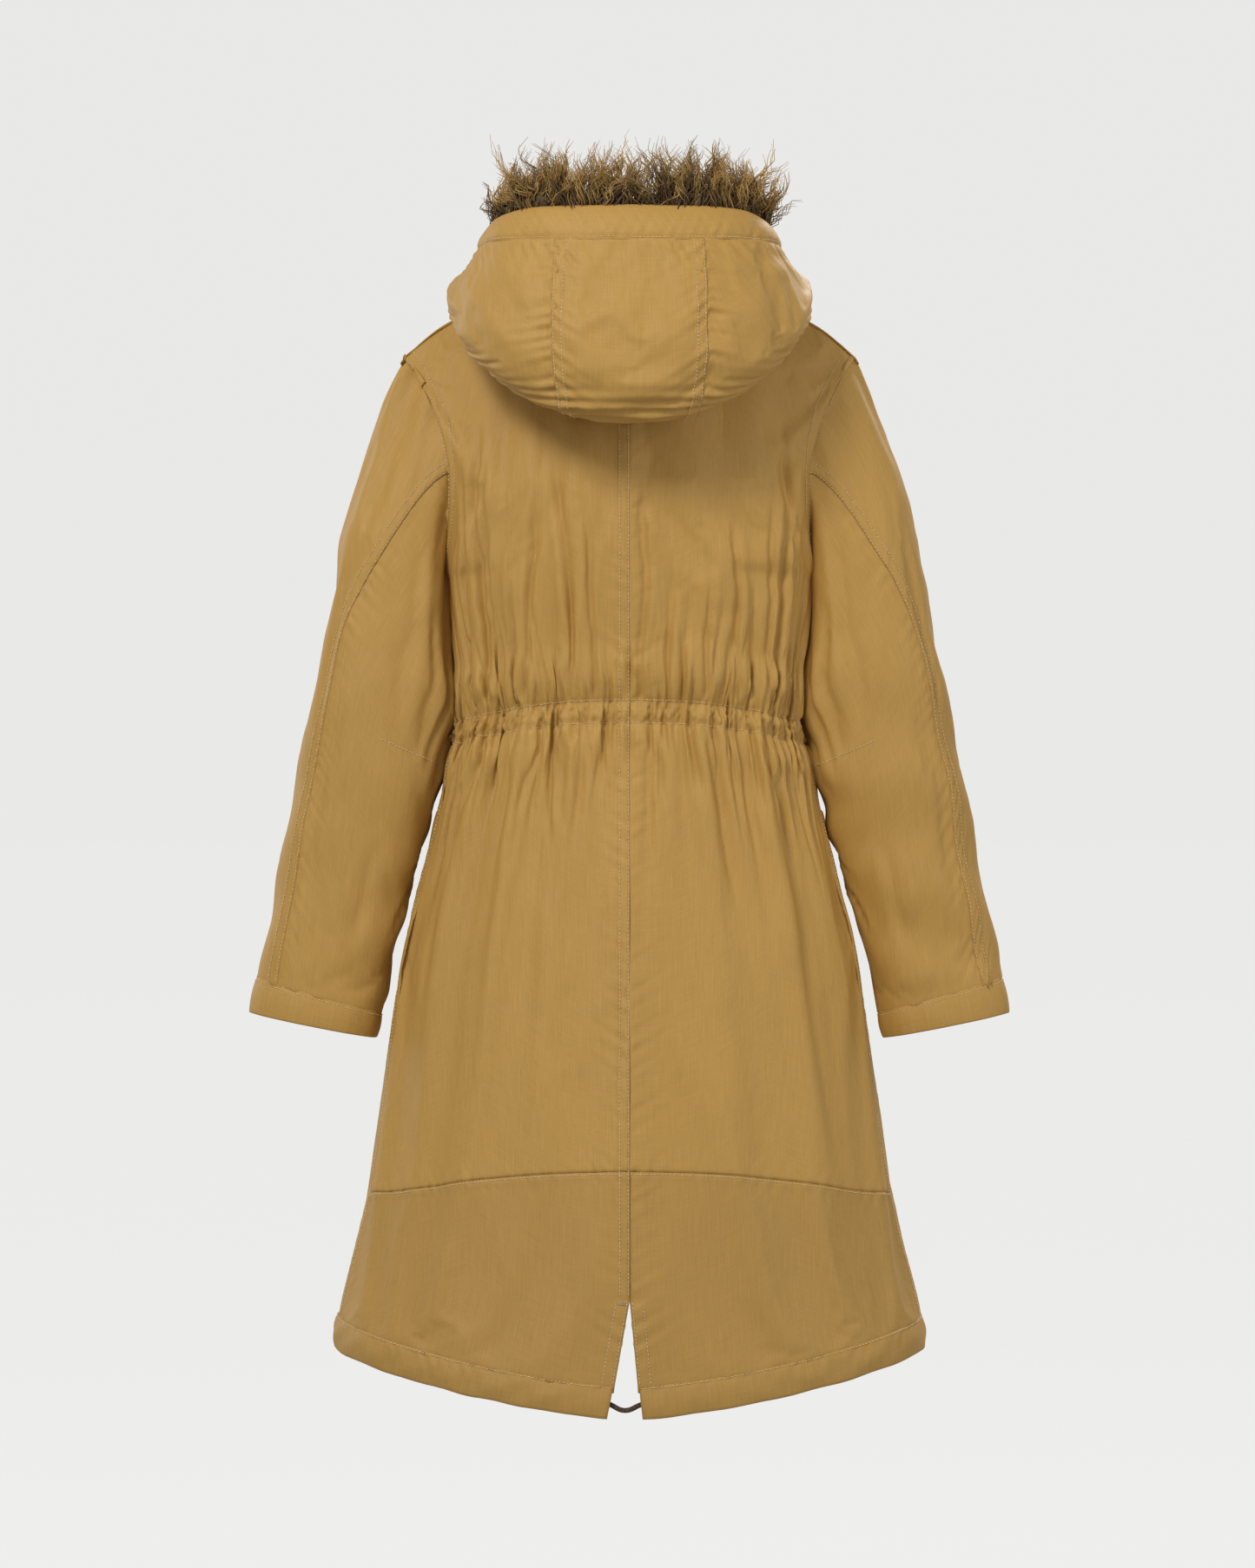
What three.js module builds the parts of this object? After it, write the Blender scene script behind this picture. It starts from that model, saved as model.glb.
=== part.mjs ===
// A long hooded parka with a fishtail back, standing open as if worn.
// Millimetres, +Z up, the front faces -Y and the wearer's left is +X.
// The origin is the middle of the neck opening, at the height of the centre back neck.
import * as THREE from 'three';

// Cloth
const CLOTH = 2.6;             // quilted shell cloth, outer face to inner face
const LINING_DEPTH = 14;       // shell face to lining face
const LINING = 1.6;
const LINING_LEVELS = [0.25, 3.5]; // the linings' top and bottom, as levels down the coat
const SEAM_GAP = 0.6;          // half of the gap between two panels along a seam

// Neck, shoulder and armhole
const NECK_HALF_WIDTH = 80;
const NECK_BACK = 72;
const NECK_FRONT = 92;
const NECK_SIDE_RISE = 25;
const NECK_FRONT_DROP = 68;
const COLLAR_HEIGHT = 44;
const COLLAR_LEAN = 10;
const LOOP_WIDTH = 36;
const LOOP_BACK = 58;
const LOOP_Z = 16;
const SHOULDER_X = 212;
const SHOULDER_Z = -50;
const ARMHOLE_X = 168;
const ARMHOLE_DEPTH = 50;
const ARMPIT_Z = -255;
const CHEST_Z = -170;
const CHEST_ANGLE = 1.17;      // how far round from the centre line a panel reaches at the chest
const SIDE_SEAM_BACK = 0.16;   // how far behind the side the seam runs, in radians

// Levels down the coat
const WAIST_Z = -383;
const WAIST_SIDE_DROP = 20;
const WAIST_REACH = 2.35;      // how far round from the centre back the elastic and its tunnel go
const ELASTIC_HALF = 7;
const TUNNEL_HALF = 11;
const YOKE_Z = -803;           // seam between the back panels and the back hem panels
const YOKE_SIDE_DROP = 29;
const HEM_BACK_Z = -1026;
const HEM_SIDE_RISE = 50;
const HEM_FRONT_RISE = 46;
const HEM_BAND = 30;
const HEM_WALL = 2;
const HEM_HOLLOW = 8;
const HEM_CORD_RADIUS = 2.4;
const HEM_CORD_HEIGHT = 13;    // above the hem
const VENT_TOP_Z = -919;
const VENT_LEFT = 19;
const VENT_RIGHT = 10;

// Girth: height, half width, depth behind the shoulder plane
const GIRTH = [
  [0, 180, 72], [-60, 180, 94], [-170, 178, 112], [-255, 172, 112], [-391, 158, 98],
  [-464, 177, 110], [-610, 216, 132], [-707, 227, 143], [-804, 240, 152],
  [-853, 250, 157], [-902, 263, 162], [-950, 275, 166], [-1026, 282, 172],
];
const ROUNDNESS = 0.85;
const FRONT_SLOPE = 0.108;     // how far the front edge comes forward for each unit down

// Sleeve: height, distance out from the middle
const SLEEVE_OUTER = [
  [-50, 212], [-74, 229], [-123, 246], [-172, 259], [-220, 271], [-318, 289],
  [-415, 308], [-512, 326], [-610, 346], [-664, 357],
];
const SLEEVE_INNER = [
  [-255, 175], [-318, 169], [-391, 163], [-464, 182], [-550, 206], [-610, 221], [-688, 238],
];
const SLEEVE_TOP_HALF_DEPTH = 50;
const SLEEVE_MID_HALF_DEPTH = 58;
const CUFF_HALF_DEPTH = 44;
const CUFF_START = 0.945;

// Hood, lying back
const HOOD_RIM_HALF_WIDTH = 136;
const HOOD_RIM_BACK = 168;
const HOOD_RIM_Z = 75;
const HOOD_RIM_START = 0.943;  // where the rim band begins, as a share of the way up
const HOOD_NECK = { halfWidth: 84, back: 80, z: 4, sideRise: 25 };
const HOOD_LOW = { halfWidth: 150, end: 9, back: 149, z: 12, drop: 227 };
const HOOD_HIGH = { halfWidth: 206, end: 20, back: 243, z: -12, drop: 113 };
const FUR_HEIGHT = 66;
const FUR_THICKNESS = 14;

// Front closure
const ZIP_EDGE = 10;           // front panel edge to the middle of the zip
const ZIP_TOP = 40;            // above the front neck point, along the zip
const ZIP_LENGTH = 900;
const FLAP_TOP = 4;
const FLAP_LENGTH = 820;
const FLAP_HINGE_X = -27;
const FLAP_WIDTH = 52;
const FLAP_LIFT = 5.4;
const FLAP_CLOTH = 2.5;
const SNAP_COUNT = 5;
const SNAP_X = 17;
const SNAP_RADIUS = 7;
const STUD_RADIUS = 5;

// Patch pocket, as shares of the front panel across and of the skirt down
const POCKET_ACROSS = [0.17, 0.6];
const POCKET_DOWN = [2.24, 2.68];
const POCKET_BULGE = 22;
const POCKET_FLAP_DOWN = [2.16, 2.36];

const COLOURS = {
  shell: 0xb28b4d, hem: 0xa6803f, lining: 0x4a3c26, fur: 0x6a5424,
  brass: 0x8f7a4a, cord: 0x3d2c1c, tape: 0x3a3326, elastic: 0xd8d2c0,
};

const mix = (a, b, t) => a + (b - a) * t;
const smooth = (t) => {
  const c = Math.min(1, Math.max(0, t));
  return c * c * (3 - 2 * c);
};
const signedPower = (value, power) => Math.sign(value) * Math.abs(value) ** power;
const V = (x, y, z) => new THREE.Vector3(x, y, z);

// Reads a table of [height, ...values] at any height, with straight stretches between rows.
function readTable(table, height, column) {
  let row = table.length - 2;
  while (row > 0 && height > table[row][0]) row -= 1;
  const [above, below] = [table[row], table[row + 1]];
  const t = Math.min(1, Math.max(0, (above[0] - height) / (above[0] - below[0])));
  return mix(above[column], below[column], t);
}

function softTable(table, height, column) {
  const reach = 24;
  const samples = [-reach, -reach / 2, 0, reach / 2, reach];
  const top = table[0][0];
  const bottom = table[table.length - 1][0];
  let sum = 0;
  for (const step of samples) {
    const span = Math.min(top - height, height - bottom);
    const shift = step * Math.min(1, Math.max(0, span / reach));
    sum += readTable(table, height + shift, column);
  }
  return sum / samples.length;
}

const halfWidth = (z) => softTable(GIRTH, z, 1);
const backDepth = (z) => softTable(GIRTH, z, 2);
const frontDepth = (z) => NECK_FRONT - (z + NECK_FRONT_DROP) * FRONT_SLOPE;

// The body's outer face: angle 0 is the centre back, pi the centre front, positive is the left.
function bodyPoint(angle, z) {
  const depth = Math.cos(angle) > 0 ? backDepth(z) : frontDepth(z);
  const x = halfWidth(z) * signedPower(Math.sin(angle), ROUNDNESS);
  const y = depth * signedPower(Math.cos(angle), ROUNDNESS);
  return V(x, y, z);
}

const waistZ = (angle) => WAIST_Z - WAIST_SIDE_DROP * Math.sin(angle) ** 2;
const yokeZ = (angle) => YOKE_Z - YOKE_SIDE_DROP * Math.sin(angle) ** 2;

function hemZ(angle) {
  const side = HEM_BACK_Z + HEM_SIDE_RISE;
  if (Math.cos(angle) > 0) return HEM_BACK_Z + HEM_SIDE_RISE * Math.abs(Math.sin(angle)) ** 1.2;
  return side + HEM_FRONT_RISE * Math.abs(Math.cos(angle)) ** 1.5;
}

// Height at a level: 1 chest, 2 waist, 3 back yoke seam, 4 top of the hem band.
function levelZ(level, angle) {
  const marks = [CHEST_Z, CHEST_Z, waistZ(angle), yokeZ(angle), hemZ(angle) + HEM_BAND];
  const row = Math.min(3, Math.max(1, Math.floor(level)));
  return mix(marks[row], marks[row + 1], level - row);
}

function shoulderPoint(t) {
  const curve = new THREE.CatmullRomCurve3([
    V(NECK_HALF_WIDTH, 0, NECK_SIDE_RISE), V(120, 0, 7), V(154, 0, -10),
    V(184, 0, -26), V(SHOULDER_X, 0, SHOULDER_Z),
  ]);
  return curve.getPoint(t);
}
const SHOULDER_LINE = Array.from({ length: 21 }, (_, i) => shoulderPoint(i / 20));

// One side's neckline and shoulder, from the centre line (0) to the shoulder tip (1).
function topEdge(across, back) {
  const neckShare = 0.4;
  if (across <= neckShare) {
    const turn = (across / neckShare) * (Math.PI / 2);
    const drop = back ? 0 : NECK_FRONT_DROP + NECK_SIDE_RISE;
    const base = back ? NECK_SIDE_RISE * Math.sin(turn) ** 2 : NECK_SIDE_RISE;
    return V(
      NECK_HALF_WIDTH * Math.sin(turn),
      (back ? NECK_BACK : -NECK_FRONT) * Math.cos(turn),
      base - drop * Math.cos(turn) ** 1.4,
    );
  }
  const place = ((across - neckShare) / (1 - neckShare)) * 20;
  const i = Math.min(19, Math.floor(place));
  return SHOULDER_LINE[i].clone().lerp(SHOULDER_LINE[i + 1], place - i);
}

// The armhole, read by height.
function armholePoint(z, back) {
  const f = Math.min(1, Math.max(0, (SHOULDER_Z - z) / (SHOULDER_Z - ARMPIT_Z)));
  const turn = 0.58;
  const x = f < turn
    ? ARMHOLE_X + (SHOULDER_X - ARMHOLE_X) * (1 - f / turn) ** 1.9
    : ARMHOLE_X + 5 * ((f - turn) / (1 - turn)) ** 2;
  const y = ARMHOLE_DEPTH * Math.sin(Math.PI * f) ** 0.75;
  return V(x, back ? y : -0.92 * y, z);
}

function sideAngle(z, back) {
  const spread = smooth((CHEST_Z - z) / (CHEST_Z - ARMPIT_Z));
  const drift = SIDE_SEAM_BACK * smooth((ARMPIT_Z - z) / (ARMPIT_Z - WAIST_Z));
  const seam = mix(CHEST_ANGLE, Math.PI / 2, spread);
  return back ? seam - drift : seam + drift;
}

// A body panel's face: across 0 is the centre line and 1 the side, level 0 is the top edge.
function panelBase(across, level, back) {
  const angleAt = (z) => (back ? across * sideAngle(z, true) : Math.PI - across * sideAngle(z, false));
  if (level < 1) {
    const top = topEdge(across, back);
    const chest = bodyPoint(angleAt(CHEST_Z), CHEST_Z);
    const [bendBack, bendDown] = back ? [0.8, 0.25] : [0.6, 0.35];
    const bend = V(
      mix(top.x, chest.x, 0.75), mix(top.y, chest.y, bendBack), mix(top.z, chest.z, bendDown),
    );
    if (!back) bend.y = mix(bend.y, mix(top.y, chest.y, bendDown), 1 - across);
    const first = top.clone().lerp(bend, level);
    return first.lerp(bend.lerp(chest, level), level);
  }
  let z = levelZ(level, back ? across * CHEST_ANGLE : Math.PI - across * CHEST_ANGLE);
  z = levelZ(level, angleAt(z));
  return bodyPoint(angleAt(z), z);
}

function ventEdge(z, side) {
  const share = Math.max(0, (VENT_TOP_Z - z) / (VENT_TOP_Z - HEM_BACK_Z));
  return (side > 0 ? VENT_LEFT : VENT_RIGHT) * share;
}

function panelPoint(across, level, back, side) {
  const point = panelBase(across, level, back);
  const edge = panelBase(1, level, back);
  if (edge.z > ARMPIT_Z) {
    const wanted = armholePoint(edge.z, back);
    const fade = across ** 3;
    point.x += fade * (wanted.x - edge.x);
    point.y += fade * (wanted.y - edge.y);
  }
  if (back) point.x += ventEdge(point.z, side) * Math.max(0, 1 - across * 3) ** 2;
  if (!back) point.x += ZIP_EDGE * Math.max(0, 1 - across * 2.5) ** 2;
  point.x *= side;
  return point;
}

const backFace = (side) => (across, level) => panelPoint(across, level, true, side);
const frontFace = (side) => (across, level) => panelPoint(across, level, false, side);

// The sleeve's face: turn 0 is the outer side, pi/2 the back, pi the inner side.
function sleevePoint(turn, along, side) {
  const outerZ = mix(SHOULDER_Z, -664, along);
  const innerZ = mix(ARMPIT_Z, -688, along);
  const outer = V(readTable(SLEEVE_OUTER, outerZ, 1), 0, outerZ);
  const inner = V(readTable(SLEEVE_INNER, innerZ, 1), 0, innerZ);
  const widest = mix(SLEEVE_TOP_HALF_DEPTH, SLEEVE_MID_HALF_DEPTH, smooth(along * 3));
  const depth = mix(widest, CUFF_HALF_DEPTH, smooth((along - 0.45) / 0.55));
  const middle = outer.clone().add(inner).multiplyScalar(0.5);
  const reach = outer.clone().sub(inner).multiplyScalar(0.5);
  const ring = middle.addScaledVector(reach, signedPower(Math.cos(turn), 0.9));
  ring.y = depth * signedPower(Math.sin(turn), 0.9);
  const z = mix(SHOULDER_Z, ARMPIT_Z, (1 - Math.cos(turn)) / 2);
  const armhole = armholePoint(z, Math.sin(turn) >= 0);
  armhole.x += mix(0.9, 2.6, (1 - Math.cos(turn)) / 2);
  const point = armhole.lerp(ring, smooth(along / 0.22));
  point.x *= side;
  return point;
}

// Where the sleeve's back seam lies, as a turn.
function backSeamTurn(along) {
  const high = mix(1.66, 0.8, smooth(along / 0.45));
  return mix(high, 0.92, smooth((along - 0.5) / 0.5));
}
const FRONT_SEAM_TURN = 4.36;

// The hood's face: across -1 and 1 are its ends at the neck, up 0 the neck seam and 1 the rim.
function hoodPoint(across, up) {
  const turn = across * Math.PI / 2;
  const c = Math.max(0, Math.cos(turn));
  const s = Math.sin(turn);
  const seamTurn = across * 1.48;
  const neck = V(
    HOOD_NECK.halfWidth * Math.sin(seamTurn),
    HOOD_NECK.back * Math.cos(seamTurn),
    HOOD_NECK.z + HOOD_NECK.sideRise * Math.sin(seamTurn) ** 2,
  );
  const low = V(
    HOOD_LOW.halfWidth * s,
    HOOD_LOW.end + HOOD_LOW.back * c ** 0.7,
    HOOD_LOW.z - HOOD_LOW.drop * c ** 0.9,
  );
  const high = V(
    HOOD_HIGH.halfWidth * s,
    HOOD_HIGH.end + HOOD_HIGH.back * c ** 0.6,
    HOOD_HIGH.z - HOOD_HIGH.drop * c ** 0.7,
  );
  const rim = V(
    HOOD_RIM_HALF_WIDTH * signedPower(s, 0.8) * mix(0.9, 1, c ** 0.3),
    24 + (HOOD_RIM_BACK - 24) * c ** 0.6,
    HOOD_RIM_Z - 20 * (1 - c) ** 2,
  );
  return new THREE.CubicBezierCurve3(neck, low, high, rim).getPoint(up);
}

function normalAt(face, u, v, span) {
  const e = 0.004;
  const [u0, u1] = [u - e * span.u, u + e * span.u];
  const [v0, v1] = [v - e * span.v, v + e * span.v];
  const alongU = face(u1, v).sub(face(u0, v));
  const alongV = face(u, v1).sub(face(u, v0));
  return alongU.cross(alongV).normalize();
}

function clampedFace(face, range) {
  const clamp = (value, [low, high]) => Math.min(high, Math.max(low, value));
  return (u, v) => face(clamp(u, range.u), clamp(v, range.v));
}

function turnOutward(position, index) {
  const [a, b, c] = [V(0, 0, 0), V(0, 0, 0), V(0, 0, 0)];
  let volume = 0;
  for (let i = 0; i < index.length; i += 3) {
    a.fromArray(position, index[i] * 3);
    b.fromArray(position, index[i + 1] * 3);
    c.fromArray(position, index[i + 2] * 3);
    volume += a.dot(b.cross(c));
  }
  if (volume >= 0) return;
  for (let i = 0; i < index.length; i += 3) [index[i], index[i + 1]] = [index[i + 1], index[i]];
}

// A closed sheet between two offsets of a face. Offsets are along the outward normal.
function sheet(face, spec) {
  const { u, v, nu, nv, outward = 1, loop = false, gap = SEAM_GAP, settle = (n) => n } = spec;
  const outer = typeof spec.outer === 'function' ? spec.outer : () => spec.outer;
  const inner = typeof spec.inner === 'function' ? spec.inner : () => spec.inner;
  const safe = clampedFace(face, spec.limits ?? { u, v });
  const uEnds = (t) => (typeof u[0] === 'function' ? [u[0](t), u[1](t)] : u);
  const columns = loop ? nu : nu + 1;
  const layers = [[], []];
  for (let j = 0; j <= nv; j += 1) {
    for (let i = 0; i < columns; i += 1) {
      const vv = mix(v[0], v[1], j / nv);
      const [u0, u1] = uEnds(vv);
      const span = { u: u1 - u0, v: v[1] - v[0] };
      const rowLength = loop ? 0 : lengthOf((t) => safe(mix(u0, u1, t), vv));
      const middle = mix(u0, u1, i / nu);
      const columnLength = lengthOf((t) => safe(middle, mix(v[0], v[1], t)));
      const du = loop ? 0 : gap / rowLength;
      const dv = gap / columnLength;
      const pu = mix(u0 + du * span.u, u1 - du * span.u, i / nu);
      const pv = mix(v[0] + dv * span.v, v[1] - dv * span.v, j / nv);
      const point = safe(pu, pv);
      const normal = settle(normalAt(safe, pu, pv, span).multiplyScalar(outward), pu, j);
      layers[0].push(point.clone().addScaledVector(normal, outer(i / nu, j / nv)));
      layers[1].push(point.clone().addScaledVector(normal, inner(i / nu, j / nv)));
    }
  }
  return closeLayers(layers, columns, nv, loop);
}

function lengthOf(curve) {
  let total = 0;
  let last = curve(0);
  for (let i = 1; i <= 8; i += 1) {
    const next = curve(i / 8);
    total += next.distanceTo(last);
    last = next;
  }
  return Math.max(total, 1);
}

function closeLayers(layers, columns, nv, loop) {
  const size = columns * (nv + 1);
  const at = (layer, i, j) => layer * size + j * columns + (i % columns);
  const index = [];
  const quad = (a, b, c, d) => index.push(a, b, c, a, c, d);
  const steps = loop ? columns : columns - 1;
  for (let j = 0; j < nv; j += 1) {
    for (let i = 0; i < steps; i += 1) {
      quad(at(0, i, j), at(0, i + 1, j), at(0, i + 1, j + 1), at(0, i, j + 1));
      quad(at(1, i, j), at(1, i, j + 1), at(1, i + 1, j + 1), at(1, i + 1, j));
    }
  }
  for (let i = 0; i < steps; i += 1) {
    quad(at(0, i, 0), at(1, i, 0), at(1, i + 1, 0), at(0, i + 1, 0));
    quad(at(0, i, nv), at(0, i + 1, nv), at(1, i + 1, nv), at(1, i, nv));
  }
  for (let j = 0; j < nv && !loop; j += 1) {
    quad(at(0, 0, j), at(0, 0, j + 1), at(1, 0, j + 1), at(1, 0, j));
    quad(at(0, steps, j), at(1, steps, j), at(1, steps, j + 1), at(0, steps, j + 1));
  }
  const position = layers.flat().flatMap((p) => p.toArray());
  turnOutward(position, index);
  const geometry = new THREE.BufferGeometry();
  geometry.setAttribute('position', new THREE.Float32BufferAttribute(position, 3));
  geometry.setIndex(index);
  geometry.computeVertexNormals();
  return geometry;
}

// A strip of constant section swept along stations; each station gives the section's corners.
function sweep(stations) {
  const corners = stations[0].length;
  const position = stations.flat().flatMap((p) => p.toArray());
  const index = [];
  const at = (row, corner) => row * corners + (corner % corners);
  for (let row = 0; row < stations.length - 1; row += 1) {
    for (let c = 0; c < corners; c += 1) {
      index.push(at(row, c), at(row, c + 1), at(row + 1, c + 1));
      index.push(at(row, c), at(row + 1, c + 1), at(row + 1, c));
    }
  }
  const last = stations.length - 1;
  for (const [a, b, c] of uCapTriangles()) {
    index.push(at(0, a), at(0, c), at(0, b));
    index.push(at(last, a), at(last, b), at(last, c));
  }
  turnOutward(position, index);
  const geometry = new THREE.BufferGeometry();
  geometry.setAttribute('position', new THREE.Float32BufferAttribute(position, 3));
  geometry.setIndex(index);
  geometry.computeVertexNormals();
  return geometry;
}

// Triangles that fill a U of eight corners, numbered down the outside and back up the inside.
function uCapTriangles() {
  return [[0, 1, 6], [0, 6, 7], [1, 5, 6], [1, 2, 5], [2, 4, 5], [2, 3, 4]];
}

const coat = new THREE.Group();

function addPiece(name, geometry, colour, options = {}) {
  const { parent = coat, roughness = 0.6, metalness = 0 } = options;
  const material = new THREE.MeshStandardMaterial({ color: COLOURS[colour], roughness, metalness });
  const mesh = new THREE.Mesh(geometry, material);
  mesh.name = name;
  parent.add(mesh);
  return mesh;
}

const SIDES = [['left', 1], ['right', -1]];
const SHELL_SHEET = { outer: 0, inner: -CLOTH };
const PANEL_LIMITS = { u: [0, 1], v: [0, 4] };

// Along the shoulder seam the two panels meet on an upright plane.
function settleShoulder(normal, across, row) {
  if (row > 0 || across < 0.36) return normal;
  return normal.setY(0).normalize();
}

function addBodyPanels() {
  const body = { ...SHELL_SHEET, limits: PANEL_LIMITS, u: [0, 1], nu: 7 };
  for (const [name, side] of SIDES) {
    const back = { ...body, outward: side };
    const front = { ...body, outward: -side, v: [0, 4], nv: 16, settle: settleShoulder };
    const upper = { ...back, v: [0, 3], nv: 12, settle: settleShoulder };
    addPiece(`back_panel_${name}`, sheet(backFace(side), upper), 'shell');
    addPiece(`back_hem_panel_${name}`, sheet(backFace(side), { ...back, v: [3, 4], nv: 4 }), 'hem');
    addPiece(`front_panel_${name}`, sheet(frontFace(side), front), 'shell');
  }
}

function addLinings() {
  const depth = { outer: -LINING_DEPTH, inner: -LINING_DEPTH - LINING, gap: 0, limits: PANEL_LIMITS };
  const wholeBack = (across, level) => backFace(across < 0 ? -1 : 1)(Math.abs(across), level);
  const backSpec = {
    ...depth, outward: 1, limits: { u: [-1, 1], v: [0, 4] },
    u: [-0.96, 0.96], v: LINING_LEVELS, nu: 10, nv: 14,
  };
  addPiece('back_lining', sheet(wholeBack, backSpec), 'lining', { roughness: 0.8 });
  for (const [name, side] of SIDES) {
    const spec = { ...depth, outward: -side, u: [0.14, 0.96], v: LINING_LEVELS, nu: 5, nv: 14 };
    addPiece(`front_lining_${name}`, sheet(frontFace(side), spec), 'lining', { roughness: 0.8 });
  }
}

function addWaist() {
  const band = (half) => (angle, share) => bodyPoint(angle, waistZ(angle) + mix(half, -half, share));
  const spec = { outward: 1, u: [-WAIST_REACH, WAIST_REACH], v: [0, 1], nu: 26, nv: 1 };
  const elastic = sheet(band(ELASTIC_HALF), { ...spec, outer: -CLOTH - 1.8, inner: -CLOTH - 3 });
  addPiece('waist_elastic', elastic, 'elastic', { roughness: 0.8 });
  const tunnel = sheet(band(TUNNEL_HALF), { ...spec, outer: -CLOTH - 4.6, inner: -CLOTH - 6 });
  addPiece('waist_tunnel', tunnel, 'shell');
}

function hemPoint(angle, height, depth, side) {
  const z = hemZ(angle) + height;
  const ahead = bodyPoint(angle + 0.01, z);
  const behind = bodyPoint(angle - 0.01, z);
  const normal = V(behind.y - ahead.y, ahead.x - behind.x, 0).normalize();
  const point = bodyPoint(angle, z).addScaledVector(normal, -depth);
  point.x *= side;
  return point;
}

// The band's section: down the outer wall, up the inner wall and back round the hollow.
function hemStation(angle, side) {
  const wall = HEM_WALL;
  const top = HEM_BAND - 1.8;
  const inner = 2 * wall + HEM_HOLLOW;
  const section = [
    [top, 0], [0.2, 0], [0.2, inner], [top, inner],
    [top, inner - wall], [wall, inner - wall], [wall, wall], [top, wall],
  ];
  return section.map(([height, depth]) => hemPoint(angle, height, depth, side));
}

function hemAngles(side, count) {
  const start = Math.asin(((side > 0 ? VENT_LEFT : VENT_RIGHT) / halfWidth(HEM_BACK_Z)) ** (1 / ROUNDNESS));
  const stop = Math.PI - Math.asin((ZIP_EDGE * 1.1 / halfWidth(-930)) ** (1 / ROUNDNESS));
  return Array.from({ length: count + 1 }, (_, i) => mix(start + 0.004, stop, i / count));
}

function addHem() {
  const cord = { left: [], right: [] };
  for (const [name, side] of SIDES) {
    const angles = hemAngles(side, 18);
    addPiece(`hem_tunnel_${name}`, sweep(angles.map((angle) => hemStation(angle, side))), 'hem');
    const depth = HEM_WALL + HEM_HOLLOW / 2;
    cord[name] = angles.slice(0, -1).map((angle) => hemPoint(angle, HEM_CORD_HEIGHT, depth, side));
  }
  const crossing = cord.left[0].clone().lerp(cord.right[0], 0.5);
  crossing.z -= 6;
  const route = [...cord.left.reverse(), crossing, ...cord.right];
  const path = new THREE.CatmullRomCurve3(route, false, 'centripetal');
  const section = new THREE.Shape().absarc(0, 0, HEM_CORD_RADIUS, 0, Math.PI * 2);
  const geometry = new THREE.ExtrudeGeometry(section, { steps: 76, extrudePath: path, curveSegments: 4 });
  addPiece('hem_cord', geometry, 'cord', { roughness: 0.9 });
}

function addVentFacings() {
  for (const [name, side] of SIDES) {
    const spec = {
      outward: side, limits: PANEL_LIMITS, u: [0.012, 0.06], v: [3.55, 3.98], nu: 1, nv: 3,
      outer: -CLOTH - 1.8, inner: -CLOTH - 3.2,
    };
    addPiece(`vent_facing_${name}`, sheet(backFace(side), spec), 'hem');
  }
}

// The front edges are straight, so the zip and its flap are built in one tilted frame.
function frontFrame() {
  const frame = new THREE.Group();
  frame.position.set(0, -NECK_FRONT, -NECK_FRONT_DROP);
  frame.rotation.x = -Math.atan(FRONT_SLOPE);
  coat.add(frame);
  return frame;
}

function boxBetween(low, high) {
  const size = high.map((value, i) => value - low[i]);
  const geometry = new THREE.BoxGeometry(...size);
  return geometry.translate(...low.map((value, i) => value + size[i] / 2));
}

function addZip(frame) {
  const bottom = ZIP_TOP - ZIP_LENGTH;
  for (const [name, side] of SIDES) {
    const span = (near, far) => (side > 0 ? [near, far] : [-far, -near]);
    const [tapeLow, tapeHigh] = span(0.6, 11.5);
    const [toothLow, toothHigh] = span(0.25, 2.9);
    const tape = boxBetween([tapeLow, 6.0, bottom], [tapeHigh, 7.2, ZIP_TOP]);
    const teeth = boxBetween([toothLow, 1.8, bottom], [toothHigh, 5.6, ZIP_TOP]);
    addPiece(`zip_tape_${name}`, tape, 'tape', { parent: frame, roughness: 0.8 });
    addPiece(`zip_teeth_${name}`, teeth, 'brass', { parent: frame, metalness: 0.8, roughness: 0.35 });
  }
  const metal = { parent: frame, metalness: 0.8, roughness: 0.35 };
  addPiece('zip_box', boxBetween([-5, 1, bottom - 12.4], [5, 6.4, bottom - 0.4]), 'brass', metal);
  addPiece('zip_slider', sliderGeometry(), 'brass', metal).position.set(0, 0, ZIP_TOP - 9);
  addPiece('zip_pull', pullGeometry(), 'brass', metal).position.set(0, -3.6, ZIP_TOP - 7);
}

function sliderGeometry() {
  const outline = new THREE.Shape();
  outline.moveTo(-5.5, 7);
  outline.lineTo(5.5, 7);
  outline.lineTo(3.8, -7);
  outline.lineTo(-3.8, -7);
  outline.closePath();
  const geometry = new THREE.ExtrudeGeometry(outline, {
    depth: 1.6, bevelEnabled: true, bevelThickness: 0.6, bevelSize: 0.6, bevelSegments: 1,
  });
  return geometry.rotateX(Math.PI / 2).translate(0, 0.8, 0);
}

function pullGeometry() {
  const outline = new THREE.Shape();
  outline.absarc(0, 0, 2.2, 0, Math.PI);
  outline.lineTo(-3.2, -24);
  outline.absarc(0, -24, 3.2, Math.PI, Math.PI * 2);
  outline.closePath();
  const hole = new THREE.Path().absarc(0, -21, 1.5, 0, Math.PI * 2, true);
  outline.holes.push(hole);
  const geometry = new THREE.ExtrudeGeometry(outline, {
    depth: 1.2, bevelEnabled: false, curveSegments: 6,
  });
  return geometry.rotateX(Math.PI / 2);
}

function snapGeometry(radius, height) {
  const profile = [
    new THREE.Vector2(0, 0), new THREE.Vector2(radius, 0), new THREE.Vector2(radius, height * 0.45),
    new THREE.Vector2(radius * 0.8, height), new THREE.Vector2(0, height),
  ];
  return new THREE.LatheGeometry(profile, 10);
}

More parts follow.
